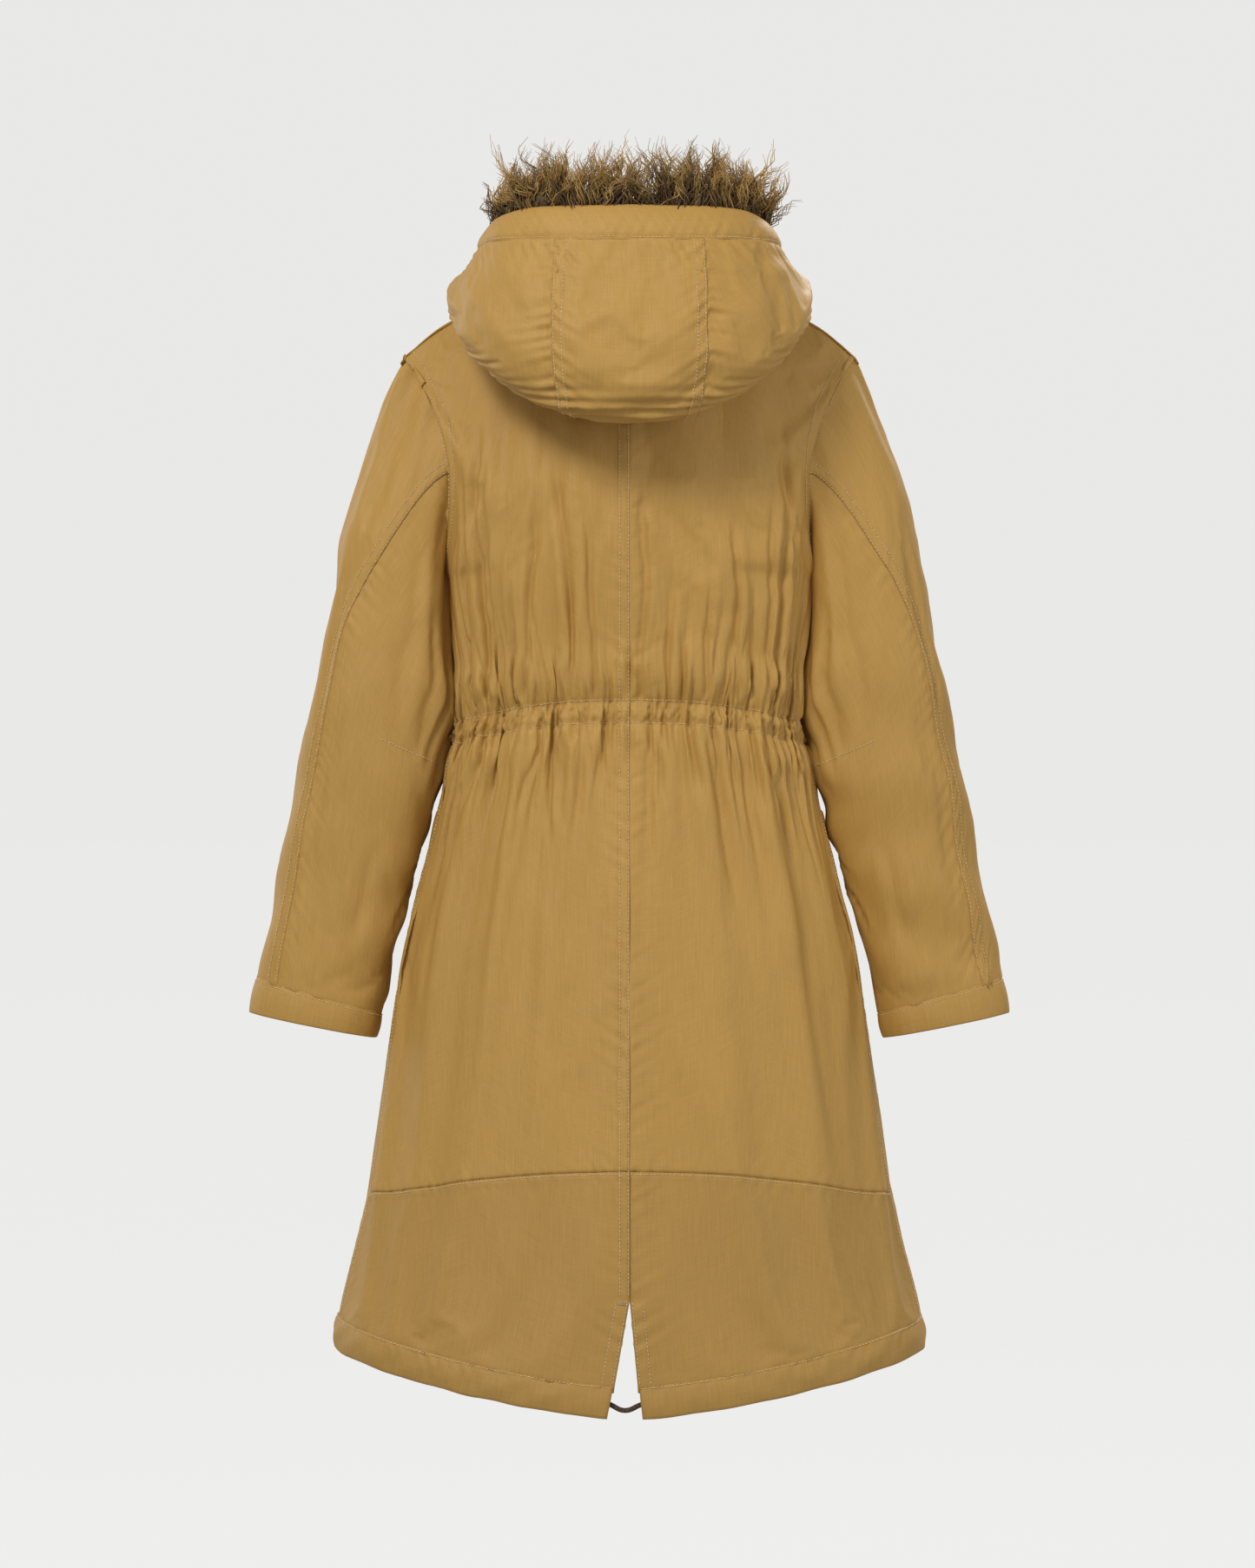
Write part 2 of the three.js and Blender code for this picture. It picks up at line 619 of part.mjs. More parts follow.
function addStormFlap(frame) {
  const outline = new THREE.Shape();
  const far = FLAP_HINGE_X + FLAP_WIDTH;
  outline.moveTo(FLAP_HINGE_X, -0.9);
  outline.lineTo(FLAP_HINGE_X + 3, -0.9);
  outline.lineTo(FLAP_HINGE_X + 3, -FLAP_LIFT);
  outline.lineTo(far, -FLAP_LIFT);
  outline.lineTo(far, -FLAP_LIFT - FLAP_CLOTH);
  outline.lineTo(FLAP_HINGE_X, -FLAP_LIFT - FLAP_CLOTH);
  outline.closePath();
  const geometry = new THREE.ExtrudeGeometry(outline, {
    depth: FLAP_LENGTH, bevelEnabled: false, steps: 1,
  });
  geometry.translate(0, 0, FLAP_TOP - FLAP_LENGTH);
  addPiece('storm_flap', geometry, 'shell', { parent: frame });
  const pitch = (FLAP_LENGTH - 60) / (SNAP_COUNT - 1);
  for (let i = 0; i < SNAP_COUNT; i += 1) {
    const z = FLAP_TOP - 30 - i * pitch;
    const cap = addPiece(`snap_cap_${i + 1}`, snapGeometry(SNAP_RADIUS, 2.6), 'brass', {
      parent: frame, metalness: 0.8, roughness: 0.4,
    });
    cap.rotation.x = Math.PI;
    cap.position.set(SNAP_X, -FLAP_LIFT - FLAP_CLOTH - 0.4, z);
    const stud = addPiece(`snap_stud_${i + 1}`, snapGeometry(STUD_RADIUS, 4.2), 'brass', {
      parent: frame, metalness: 0.8, roughness: 0.4,
    });
    stud.rotation.x = Math.PI;
    stud.position.set(SNAP_X, -0.6, z);
  }
}

// A patch pocket bulges between its three sewn edges and stays open along its top.
function pocketLift(u, v) {
  const edge = Math.min(u * 5, (1 - u) * 5, (1 - v) * 5);
  return 1.2 + (POCKET_BULGE - 1.2) * smooth(edge);
}

function addPockets() {
  for (const [name, side] of SIDES) {
    const face = frontFace(side);
    const limits = PANEL_LIMITS;
    const pocket = sheet(face, {
      outward: -side, limits, u: POCKET_ACROSS, v: POCKET_DOWN, nu: 8, nv: 6, gap: 0,
      outer: (u, v) => pocketLift(u, v) + CLOTH, inner: pocketLift,
    });
    addPiece(`pocket_${name}`, pocket, 'shell');
    const flapLift = (u, v) => mix(1.2, POCKET_BULGE + CLOTH + 2.2, smooth(v * 5));
    const flap = sheet(face, {
      outward: -side, limits, u: [POCKET_ACROSS[0] - 0.01, POCKET_ACROSS[1] + 0.01],
      v: POCKET_FLAP_DOWN, nu: 8, nv: 5, gap: 0,
      outer: (u, v) => flapLift(u, v) + CLOTH, inner: flapLift,
    });
    addPiece(`pocket_flap_${name}`, flap, 'shell');
    addPocketSnap(name, side, face);
  }
}

function addPocketSnap(name, side, face) {
  const across = (POCKET_ACROSS[0] + POCKET_ACROSS[1]) / 2;
  const down = POCKET_FLAP_DOWN[1] - 0.03;
  const point = face(across, down);
  const normal = normalAt(face, across, down, { u: 1, v: 1 }).multiplyScalar(-side);
  const turn = new THREE.Quaternion().setFromUnitVectors(V(0, 1, 0), normal);
  const lifts = { stud: POCKET_BULGE + CLOTH + 0.9, cap: POCKET_BULGE + 2 * CLOTH + 3.2 };
  const shapes = { stud: snapGeometry(STUD_RADIUS, 1), cap: snapGeometry(SNAP_RADIUS, 2.6) };
  const metal = { metalness: 0.8, roughness: 0.4 };
  for (const kind of ['cap', 'stud']) {
    const snap = addPiece(`pocket_snap_${kind}_${name}`, shapes[kind], 'brass', metal);
    snap.quaternion.copy(turn);
    snap.position.copy(point).addScaledVector(normal, lifts[kind]);
  }
}

function collarFace(turn, up) {
  const back = Math.cos(turn) > 0;
  const lean = COLLAR_LEAN * up;
  const quarter = (back ? Math.abs(turn) : Math.PI - Math.abs(turn)) / (Math.PI / 2);
  const edge = topEdge(0.4 * Math.min(1, quarter), back);
  const shrink = 1 - (3 + lean) / NECK_HALF_WIDTH;
  const front = back ? 0 : Math.abs(Math.cos(turn)) ** 3;
  const forward = FRONT_SLOPE * COLLAR_HEIGHT * up * front;
  const y = back ? edge.y * shrink : edge.y * mix(shrink, 1, front) + forward;
  return V(Math.sign(turn) * edge.x * shrink, y, edge.z + 1.5 + COLLAR_HEIGHT * up);
}

function addCollar() {
  const reach = Math.PI - 0.19;
  const spec = { ...SHELL_SHEET, outward: -1, u: [-reach, reach], v: [0, 1], nu: 24, nv: 2, gap: 0 };
  addPiece('neck_band', sheet(collarFace, spec), 'shell');
}

// A flat tape loop that stands against the inside of the stand collar.
function addHangerLoop() {
  const loop = new THREE.Shape();
  loop.moveTo(-LOOP_WIDTH / 2, 0);
  loop.lineTo(LOOP_WIDTH / 2, 0);
  loop.lineTo(LOOP_WIDTH / 2, 12);
  loop.lineTo(-LOOP_WIDTH / 2, 12);
  loop.closePath();
  const side = LOOP_WIDTH / 2 - 3;
  const gap = new THREE.Path();
  gap.moveTo(-side, 4);
  gap.lineTo(-side, 9);
  gap.lineTo(side, 9);
  gap.lineTo(side, 4);
  gap.closePath();
  loop.holes.push(gap);
  const geometry = new THREE.ExtrudeGeometry(loop, { depth: 5, bevelEnabled: false });
  geometry.rotateX(Math.PI / 2).translate(0, LOOP_BACK, LOOP_Z);
  addPiece('hanger_loop', geometry, 'tape', { roughness: 0.8 });
}

function addSleeves() {
  for (const [name, side] of SIDES) {
    const face = (turn, along) => sleevePoint(turn, along, side);
    const limits = { u: [-Math.PI * 2, Math.PI * 3], v: [0, 1] };
    const base = { ...SHELL_SHEET, outward: -side, limits };
    const panel = { ...base, v: [0, CUFF_START], nu: 8, nv: 9 };
    const upper = { ...panel, u: [() => FRONT_SEAM_TURN - Math.PI * 2, backSeamTurn] };
    const under = { ...panel, u: [backSeamTurn, () => FRONT_SEAM_TURN] };
    addPiece(`upper_sleeve_${name}`, sheet(face, upper), 'shell');
    addPiece(`under_sleeve_${name}`, sheet(face, under), 'shell');
    const ring = { ...base, loop: true, u: [0, Math.PI * 2] };
    addPiece(`cuff_${name}`, sheet(face, { ...ring, v: [CUFF_START, 1], nu: 16, nv: 1 }), 'shell');
    const lining = { ...ring, v: [0.06, 0.93], nu: 12, nv: 7, gap: 0, outer: -7, inner: -7 - LINING };
    addPiece(`sleeve_lining_${name}`, sheet(face, lining), 'lining', { roughness: 0.8 });
  }
}

// Where the hood's two long seams run, as a share of its width.
const hoodSeam = (up) => mix(0.24, 0.26, smooth(up));

function addHood() {
  const limits = { u: [-1, 1], v: [0, 1] };
  const base = { ...SHELL_SHEET, outward: -1, limits, v: [0, HOOD_RIM_START], nv: 11 };
  const seamLeft = (up) => hoodSeam(up);
  const seamRight = (up) => -hoodSeam(up);
  addPiece('hood_centre_panel', sheet(hoodPoint, { ...base, u: [seamRight, seamLeft], nu: 5 }), 'shell');
  addPiece('hood_side_left', sheet(hoodPoint, { ...base, u: [seamLeft, () => 1], nu: 6 }), 'shell');
  addPiece('hood_side_right', sheet(hoodPoint, { ...base, u: [() => -1, seamRight], nu: 6 }), 'shell');
  const rim = { ...base, u: [-1, 1], v: [HOOD_RIM_START, 1], nu: 20, nv: 1 };
  addPiece('hood_rim', sheet(hoodPoint, rim), 'shell');
  const lining = { ...base, u: [-0.9, 0.9], v: [0.08, 0.84], nu: 12, nv: 8, outer: -8, inner: -8 - LINING };
  addPiece('hood_lining', sheet(hoodPoint, lining), 'lining', { roughness: 0.8 });
  addPiece('hood_fur', sheet(furFace, {
    outward: 1, limits, u: [-0.94, 0.94], v: [0, 1], nu: 20, nv: 2, gap: 0,
    outer: FUR_THICKNESS / 2, inner: -FUR_THICKNESS / 2,
  }), 'fur', { roughness: 0.95 });
}

function furFace(across, up) {
  const rim = hoodPoint(across, 1);
  const inward = V(-rim.x, 60 - rim.y, 0).normalize();
  rim.addScaledVector(inward, 13 - 6 * up);
  rim.z += mix(-10, FUR_HEIGHT - 14, up) * mix(0.75, 1, Math.cos(across * Math.PI / 2));
  return rim;
}

addBodyPanels();
addLinings();
addWaist();
addHem();
addVentFacings();
const front = frontFrame();
addZip(front);
addStormFlap(front);
addPockets();
addCollar();
addHangerLoop();
addSleeves();
addHood();

export default coat;
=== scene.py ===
"""A long hooded fishtail parka seen from behind, in metres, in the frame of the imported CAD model.
+Z is up, the front faces -Y and the wearer's left is +X."""
import math

import bpy
import numpy as np
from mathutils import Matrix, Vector


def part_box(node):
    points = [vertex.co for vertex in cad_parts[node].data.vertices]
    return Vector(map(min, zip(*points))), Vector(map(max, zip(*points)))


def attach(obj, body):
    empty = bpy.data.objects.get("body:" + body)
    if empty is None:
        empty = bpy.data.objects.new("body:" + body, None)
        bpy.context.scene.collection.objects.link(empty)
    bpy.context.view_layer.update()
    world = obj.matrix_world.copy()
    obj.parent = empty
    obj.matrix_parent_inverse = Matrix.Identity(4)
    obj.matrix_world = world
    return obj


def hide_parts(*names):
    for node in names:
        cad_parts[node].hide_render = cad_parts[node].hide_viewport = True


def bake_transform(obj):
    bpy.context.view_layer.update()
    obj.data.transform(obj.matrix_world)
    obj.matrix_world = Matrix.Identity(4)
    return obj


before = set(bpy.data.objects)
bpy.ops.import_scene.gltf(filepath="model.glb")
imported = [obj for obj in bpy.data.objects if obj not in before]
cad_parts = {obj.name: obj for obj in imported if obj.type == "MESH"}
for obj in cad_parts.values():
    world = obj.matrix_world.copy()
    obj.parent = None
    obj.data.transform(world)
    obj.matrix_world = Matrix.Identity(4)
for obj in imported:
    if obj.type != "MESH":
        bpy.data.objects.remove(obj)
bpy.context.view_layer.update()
TURN = math.pi / 2
CAMERA_PLACE, CAMERA_LENS, SENSOR_WIDTH = (0.002, 4.6, -0.450), 112.3, 36
LIGHT_TARGET = (0, 0, -0.45)
KEY_SIZE, KEY_POWER, FILL_SIZE, FILL_POWER, WORLD_LIGHT = 1.2, 106, 1.8, 36, 0.42

# ---------------------------------------------------------------- driving sizes, as in the CAD
NECK_HALF_WIDTH, NECK_BACK, NECK_FRONT = 0.080, 0.072, 0.092
NECK_SIDE_RISE, NECK_FRONT_DROP, COLLAR_HEIGHT, COLLAR_LEAN = 0.025, 0.068, 0.044, 0.010
SHOULDER_X, SHOULDER_Z, ARMHOLE_X, ARMHOLE_DEPTH, ARMPIT_Z = 0.212, -0.050, 0.168, 0.050, -0.255
CHEST_Z, CHEST_ANGLE, SIDE_SEAM_BACK = -0.170, 1.17, 0.16
WAIST_Z, WAIST_SIDE_DROP, YOKE_Z, YOKE_SIDE_DROP = -0.383, 0.020, -0.803, 0.029
HEM_BACK_Z, HEM_SIDE_RISE, HEM_FRONT_RISE, HEM_BAND = -1.026, 0.050, 0.046, 0.030
HEM_DEPTH, VENT_TOP_Z, VENT_LEFT, VENT_RIGHT = 0.012, -0.919, 0.019, 0.010
ROUNDNESS, FRONT_SLOPE = 0.85, 0.108
SHOULDER = [(0.080, 0.025), (0.120, 0.007), (0.154, -0.010), (0.184, -0.026), (0.212, -0.050)]
GIRTH = [  # height, half width, depth behind the shoulder plane
    (0, 0.180, 0.072), (-0.060, 0.180, 0.094), (-0.170, 0.178, 0.112), (-0.255, 0.172, 0.112),
    (-0.391, 0.158, 0.098), (-0.464, 0.177, 0.110), (-0.610, 0.216, 0.132), (-0.707, 0.227, 0.143),
    (-0.804, 0.240, 0.152), (-0.853, 0.250, 0.157), (-0.902, 0.263, 0.162), (-0.950, 0.275, 0.166),
    (-1.026, 0.282, 0.172),
]
SLEEVE_OUTER = [  # height, distance out from the middle
    (-0.050, 0.212), (-0.074, 0.229), (-0.123, 0.246), (-0.172, 0.259), (-0.220, 0.271),
    (-0.318, 0.289), (-0.415, 0.308), (-0.512, 0.326), (-0.610, 0.346), (-0.664, 0.357),
]
SLEEVE_INNER = [
    (-0.255, 0.175), (-0.318, 0.169), (-0.391, 0.163), (-0.464, 0.182), (-0.550, 0.206),
    (-0.610, 0.221), (-0.688, 0.238),
]
CUFF_OUTER_Z, CUFF_INNER_Z, CUFF_START = -0.664, -0.688, 0.945
RIM_HALF_WIDTH, RIM_BACK, RIM_Z, RIM_START, HOOD_FOLD = 0.136, 0.168, 0.075, 0.943, 0.4
ZIP_EDGE, ZIP_TOP, ZIP_LENGTH = 0.010, 0.040, 0.900
FLAP_TOP, FLAP_LENGTH, FLAP_HINGE_X, FLAP_WIDTH, FLAP_LIFT = 0.004, 0.820, -0.027, 0.052, 0.0054
POCKET_ACROSS, POCKET_DOWN, POCKET_FLAP_DOWN = (0.17, 0.6), (2.24, 2.68), (2.16, 2.36)
POCKET_BULGE = 0.022
LINING_DEPTH = 0.014
CLOTH = 0.0012                 # the shell's own thickness
FELL = 0.0100                  # width of a felled seam
TUNNEL_HALF = 0.0105           # half the height of the waist tunnel

SIDES = (("left", 1), ("right", -1))


# ---------------------------------------------------------------- small maths
def mix(a, b, t):
    return a + (b - a) * t


def smooth(t):
    c = np.clip(t, 0, 1)
    return c * c * (3 - 2 * c)


def signed_power(value, power):
    return np.sign(value) * np.abs(value) ** power


def xyz(x, y, z):
    return np.stack(np.broadcast_arrays(x, y, z), axis=-1).astype(float)


def read_table(rows, height, column):
    """A straight-line reading of a table that runs downwards."""
    return np.interp(-height, [-r[0] for r in rows], [r[column] for r in rows])


def soft_table(rows, height, column):
    reach, top, bottom = 0.024, rows[0][0], rows[-1][0]
    span = np.clip(np.minimum(top - height, height - bottom) / reach, 0, 1)
    shifts = np.linspace(-reach, reach, 5)
    return sum(read_table(rows, height + shift * span, column) for shift in shifts) / len(shifts)


def bump(t):
    """1 at 0, falling smoothly to 0 at 1 and beyond, on both sides."""
    return smooth(1 - np.abs(t))


def waves(values, seed, low, high, count=6):
    """A repeatable irregular wave of values, with wavelengths from low to high, about -1 to 1."""
    rng = np.random.default_rng(seed)
    total = np.zeros_like(values, dtype=float)
    for _ in range(count):
        length = rng.uniform(low, high)
        total += np.sin(values * (2 * math.pi / length) + rng.uniform(0, 2 * math.pi)) * rng.uniform(0.6, 1)
    return total / math.sqrt(count)


def field(u, v, seed, u_length, v_length, count=10):
    """A repeatable irregular field over two directions, about -1 to 1."""
    rng = np.random.default_rng(seed)
    total = np.zeros(np.broadcast(u, v).shape)
    for _ in range(count):
        ku = 2 * math.pi / (u_length * rng.uniform(0.7, 1.5)) * rng.choice([-1, 1])
        kv = 2 * math.pi / (v_length * rng.uniform(0.7, 1.5))
        total += np.sin(u * ku + v * kv + rng.uniform(0, 2 * math.pi)) * rng.uniform(0.5, 1)
    return total / math.sqrt(count)


# ---------------------------------------------------------------- the body's surface
def half_width(z):
    return soft_table(GIRTH, z, 1)


def front_depth(z):
    return NECK_FRONT - (z + NECK_FRONT_DROP) * FRONT_SLOPE


def body_point(angle, z):
    """Angle 0 is the centre back, pi the centre front, positive is the wearer's left."""
    depth = np.where(np.cos(angle) > 0, soft_table(GIRTH, z, 2), front_depth(z))
    x = half_width(z) * signed_power(np.sin(angle), ROUNDNESS)
    return xyz(x, depth * signed_power(np.cos(angle), ROUNDNESS), z)


def waist_z(angle):
    return WAIST_Z - WAIST_SIDE_DROP * np.sin(angle) ** 2


def hem_z(angle):
    side = HEM_BACK_Z + HEM_SIDE_RISE
    back = HEM_BACK_Z + HEM_SIDE_RISE * np.abs(np.sin(angle)) ** 1.2
    front = side + HEM_FRONT_RISE * np.abs(np.cos(angle)) ** 1.5
    return np.where(np.cos(angle) > 0, back, front)


def level_z(level, angle):
    """Height at a level: 1 chest, 2 waist, 3 low cross seam, 4 top of the hem band."""
    yoke = YOKE_Z - YOKE_SIDE_DROP * np.sin(angle) ** 2
    chest = CHEST_Z + 0 * angle
    marks = np.stack(np.broadcast_arrays(chest, waist_z(angle), yoke, hem_z(angle) + HEM_BAND))
    row = np.clip(np.floor(level).astype(int), 1, 3)
    row, level = np.broadcast_arrays(row, level)
    above = np.take_along_axis(marks, row[None] - 1, 0)[0]
    below = np.take_along_axis(marks, row[None], 0)[0]
    return mix(above, below, level - row)


def shoulder_line(t):
    """A Catmull-Rom curve through the shoulder's points."""
    knots = np.array([(x, 0, z) for x, z in SHOULDER])
    padded = np.vstack([2 * knots[0] - knots[1], knots, 2 * knots[-1] - knots[-2]])
    place = np.clip(t, 0, 1) * (len(knots) - 1)
    i = np.minimum(place.astype(int), len(knots) - 2)
    f = (place - i)[..., None]
    a, b, c, d = (padded[i + k] for k in range(4))
    return 0.5 * (2 * b + (c - a) * f + (2 * a - 5 * b + 4 * c - d) * f**2 + (3 * b - a - 3 * c + d) * f**3)


def top_edge(across, back):
    """One side's neckline and shoulder, from the centre line (0) to the shoulder tip (1)."""
    neck_share = 0.4
    turn = np.clip(across / neck_share, 0, 1) * TURN
    drop = 0 if back else NECK_FRONT_DROP + NECK_SIDE_RISE
    base = NECK_SIDE_RISE * np.sin(turn) ** 2 if back else NECK_SIDE_RISE
    depth = NECK_BACK if back else -NECK_FRONT
    cosine = np.clip(np.cos(turn), 0, 1)
    neck = xyz(NECK_HALF_WIDTH * np.sin(turn), depth * cosine, base - drop * cosine**1.4)
    shoulder = shoulder_line((across - neck_share) / (1 - neck_share))
    return np.where((across <= neck_share)[..., None], neck, shoulder)


def armhole_point(z, back):
    f = np.clip((SHOULDER_Z - z) / (SHOULDER_Z - ARMPIT_Z), 0, 1)
    turn = 0.58
    high = ARMHOLE_X + (SHOULDER_X - ARMHOLE_X) * np.clip(1 - f / turn, 0, 1) ** 1.9
    low = ARMHOLE_X + 0.005 * np.clip((f - turn) / (1 - turn), 0, 1) ** 2
    y = ARMHOLE_DEPTH * np.clip(np.sin(math.pi * f), 0, 1) ** 0.75
    return xyz(np.where(f < turn, high, low), np.where(back, y, -0.92 * y), z)


def side_angle(z, back):
    spread = smooth((CHEST_Z - z) / (CHEST_Z - ARMPIT_Z))
    drift = SIDE_SEAM_BACK * smooth((ARMPIT_Z - z) / (ARMPIT_Z - WAIST_Z))
    seam = mix(CHEST_ANGLE, TURN, spread)
    return seam - drift if back else seam + drift


def panel_base(across, level, back):
    def angle_at(z):
        return across * side_angle(z, True) if back else math.pi - across * side_angle(z, False)

    top = top_edge(across, back)
    chest = body_point(angle_at(np.full(across.shape, CHEST_Z)), np.full(across.shape, CHEST_Z))
    bend = xyz(
        mix(top[..., 0], chest[..., 0], 0.75),
        mix(top[..., 1], chest[..., 1], 0.8 if back else 0.6),
        mix(top[..., 2], chest[..., 2], 0.25 if back else 0.35),
    )
    if not back:
        share = (top[..., 2] - bend[..., 2]) / (top[..., 2] - chest[..., 2])
        straight = mix(top[..., 1], chest[..., 1], share)
        bend[..., 1] = mix(bend[..., 1], straight, 1 - across)
    t = np.clip(level, 0, 1)[..., None]
    upper = mix(mix(top, bend, t), mix(bend, chest, t), t)
    low = np.maximum(level, 1)
    z = level_z(low, across * CHEST_ANGLE if back else math.pi - across * CHEST_ANGLE)
    z = level_z(low, angle_at(z))
    return np.where((level < 1)[..., None], upper, body_point(angle_at(z), z))


def panel_face(back, side):
    def face(across, level):
        point = panel_base(across, level, back)
        edge = panel_base(np.ones_like(across), level, back)
        wanted = armhole_point(edge[..., 2], back)
        fade = np.where(edge[..., 2] > ARMPIT_Z, across**3, 0)
        point[..., 0] += fade * (wanted[..., 0] - edge[..., 0])
        point[..., 1] += fade * (wanted[..., 1] - edge[..., 1])
        if back:
            share = np.maximum(0, (VENT_TOP_Z - point[..., 2]) / (VENT_TOP_Z - HEM_BACK_Z))
            opening = (VENT_LEFT if side > 0 else VENT_RIGHT) * share
            point[..., 0] += opening * np.maximum(0, 1 - across * 3) ** 2
        else:
            point[..., 0] += ZIP_EDGE * np.maximum(0, 1 - across * 2.5) ** 2
        point[..., 0] *= side
        return point

    return face


# ---------------------------------------------------------------- the sleeve's and hood's surfaces
def sleeve_face(side):
    """Turn 0 is the outer side, pi/2 the back, pi the inner side."""

    def face(turn, along):
        outer_z = mix(SHOULDER_Z, CUFF_OUTER_Z, along)
        inner_z = mix(ARMPIT_Z, CUFF_INNER_Z, along)
        outer = xyz(read_table(SLEEVE_OUTER, outer_z, 1), 0, outer_z)
        inner = xyz(read_table(SLEEVE_INNER, inner_z, 1), 0, inner_z)
        depth = mix(0.050, 0.058, smooth(along * 3))
        depth = mix(depth, 0.044, smooth((along - 0.45) / 0.55))
        ring = (outer + inner) / 2 + (outer - inner) / 2 * signed_power(np.cos(turn), 0.9)[..., None]
        ring[..., 1] = depth * signed_power(np.sin(turn), 0.9)
        inward = (1 - np.cos(turn)) / 2
        armhole = armhole_point(mix(SHOULDER_Z, ARMPIT_Z, inward), np.sin(turn) >= 0)
        armhole[..., 0] -= 0.0010
        point = mix(armhole, ring, smooth(along / 0.22)[..., None])
        point[..., 0] *= side
        return point

    return face


def back_seam_turn(along):
    high = mix(1.66, 0.8, smooth(along / 0.45))
    return mix(high, 0.92, smooth((along - 0.5) / 0.5))


FRONT_SEAM_TURN = 4.36


def hood_face(across, up):
    """Across -1 and 1 are its ends at the neck, up 0 the neck seam and 1 the rim."""
    turn = across * TURN
    c = np.clip(np.cos(turn), 0, 1)
    s = np.sin(turn)
    seam = across * 1.48
    neck = xyz(0.084 * np.sin(seam), 0.080 * np.cos(seam), 0.004 + 0.025 * np.sin(seam) ** 2)
    low = xyz(0.150 * s, 0.009 + 0.149 * c**0.7, 0.012 - 0.227 * c**0.9)
    high = xyz(0.206 * s, 0.020 + 0.243 * c**0.6, -0.012 - 0.113 * c**0.7)
    rim_x = RIM_HALF_WIDTH * signed_power(s, 0.8) * mix(0.9, 1, c**0.3)
    rim = xyz(rim_x, 0.024 + (RIM_BACK - 0.024) * c**0.6, RIM_Z - 0.020 * (1 - c) ** 2)
    t = up[..., None]
    return neck * (1 - t) ** 3 + low * 3 * t * (1 - t) ** 2 + high * 3 * t**2 * (1 - t) + rim * t**3


def hood_seam(up):
    return mix(0.24, 0.26, smooth(up))


def collar_face(turn, up):
    back = np.cos(turn) > 0
    around = np.where(back, np.abs(turn), math.pi - np.abs(turn))
    share = 0.4 * np.clip(around / TURN, 0, 1)
    edge = np.where(back[..., None], top_edge(share, True), top_edge(share, False))
    shrink = 1 - (0.003 + COLLAR_LEAN * up) / NECK_HALF_WIDTH
    front = np.where(back, 0, np.abs(np.cos(turn)) ** 3)
    y = edge[..., 1] * mix(shrink, 1, front) + FRONT_SLOPE * COLLAR_HEIGHT * up * front
    return xyz(np.sign(turn) * edge[..., 0] * shrink, y, edge[..., 2] + 0.0015 + COLLAR_HEIGHT * up)


# ---------------------------------------------------------------- grids of cloth
def cubic_weights(knots, places):
    """Four knot numbers and their Catmull-Rom weights for each place along increasing knots."""
    i = np.clip(np.searchsorted(knots, places, side="right") - 1, 0, len(knots) - 2)
    t = (places - knots[i]) / (knots[i + 1] - knots[i])
    numbers = np.clip(np.stack([i - 1, i, i + 1, i + 2]), 0, len(knots) - 1)
    weights = 0.5 * np.stack([
        -t + 2 * t**2 - t**3, 2 - 5 * t**2 + 3 * t**3, t + 4 * t**2 - 3 * t**3, -(t**2) + t**3,
    ])
    return numbers, weights


def resample(values, us, vs, new_us, new_vs):
    """Values on the grid vs by us, read smoothly on the grid new_vs by new_us."""
    rows, row_weights = cubic_weights(vs, new_vs)
    by_row = sum(values[rows[k]] * row_weights[k][:, None, None] for k in range(4))
    columns, weights = cubic_weights(us, new_us)
    return sum(by_row[:, columns[k]] * weights[k][None, :, None] for k in range(4))


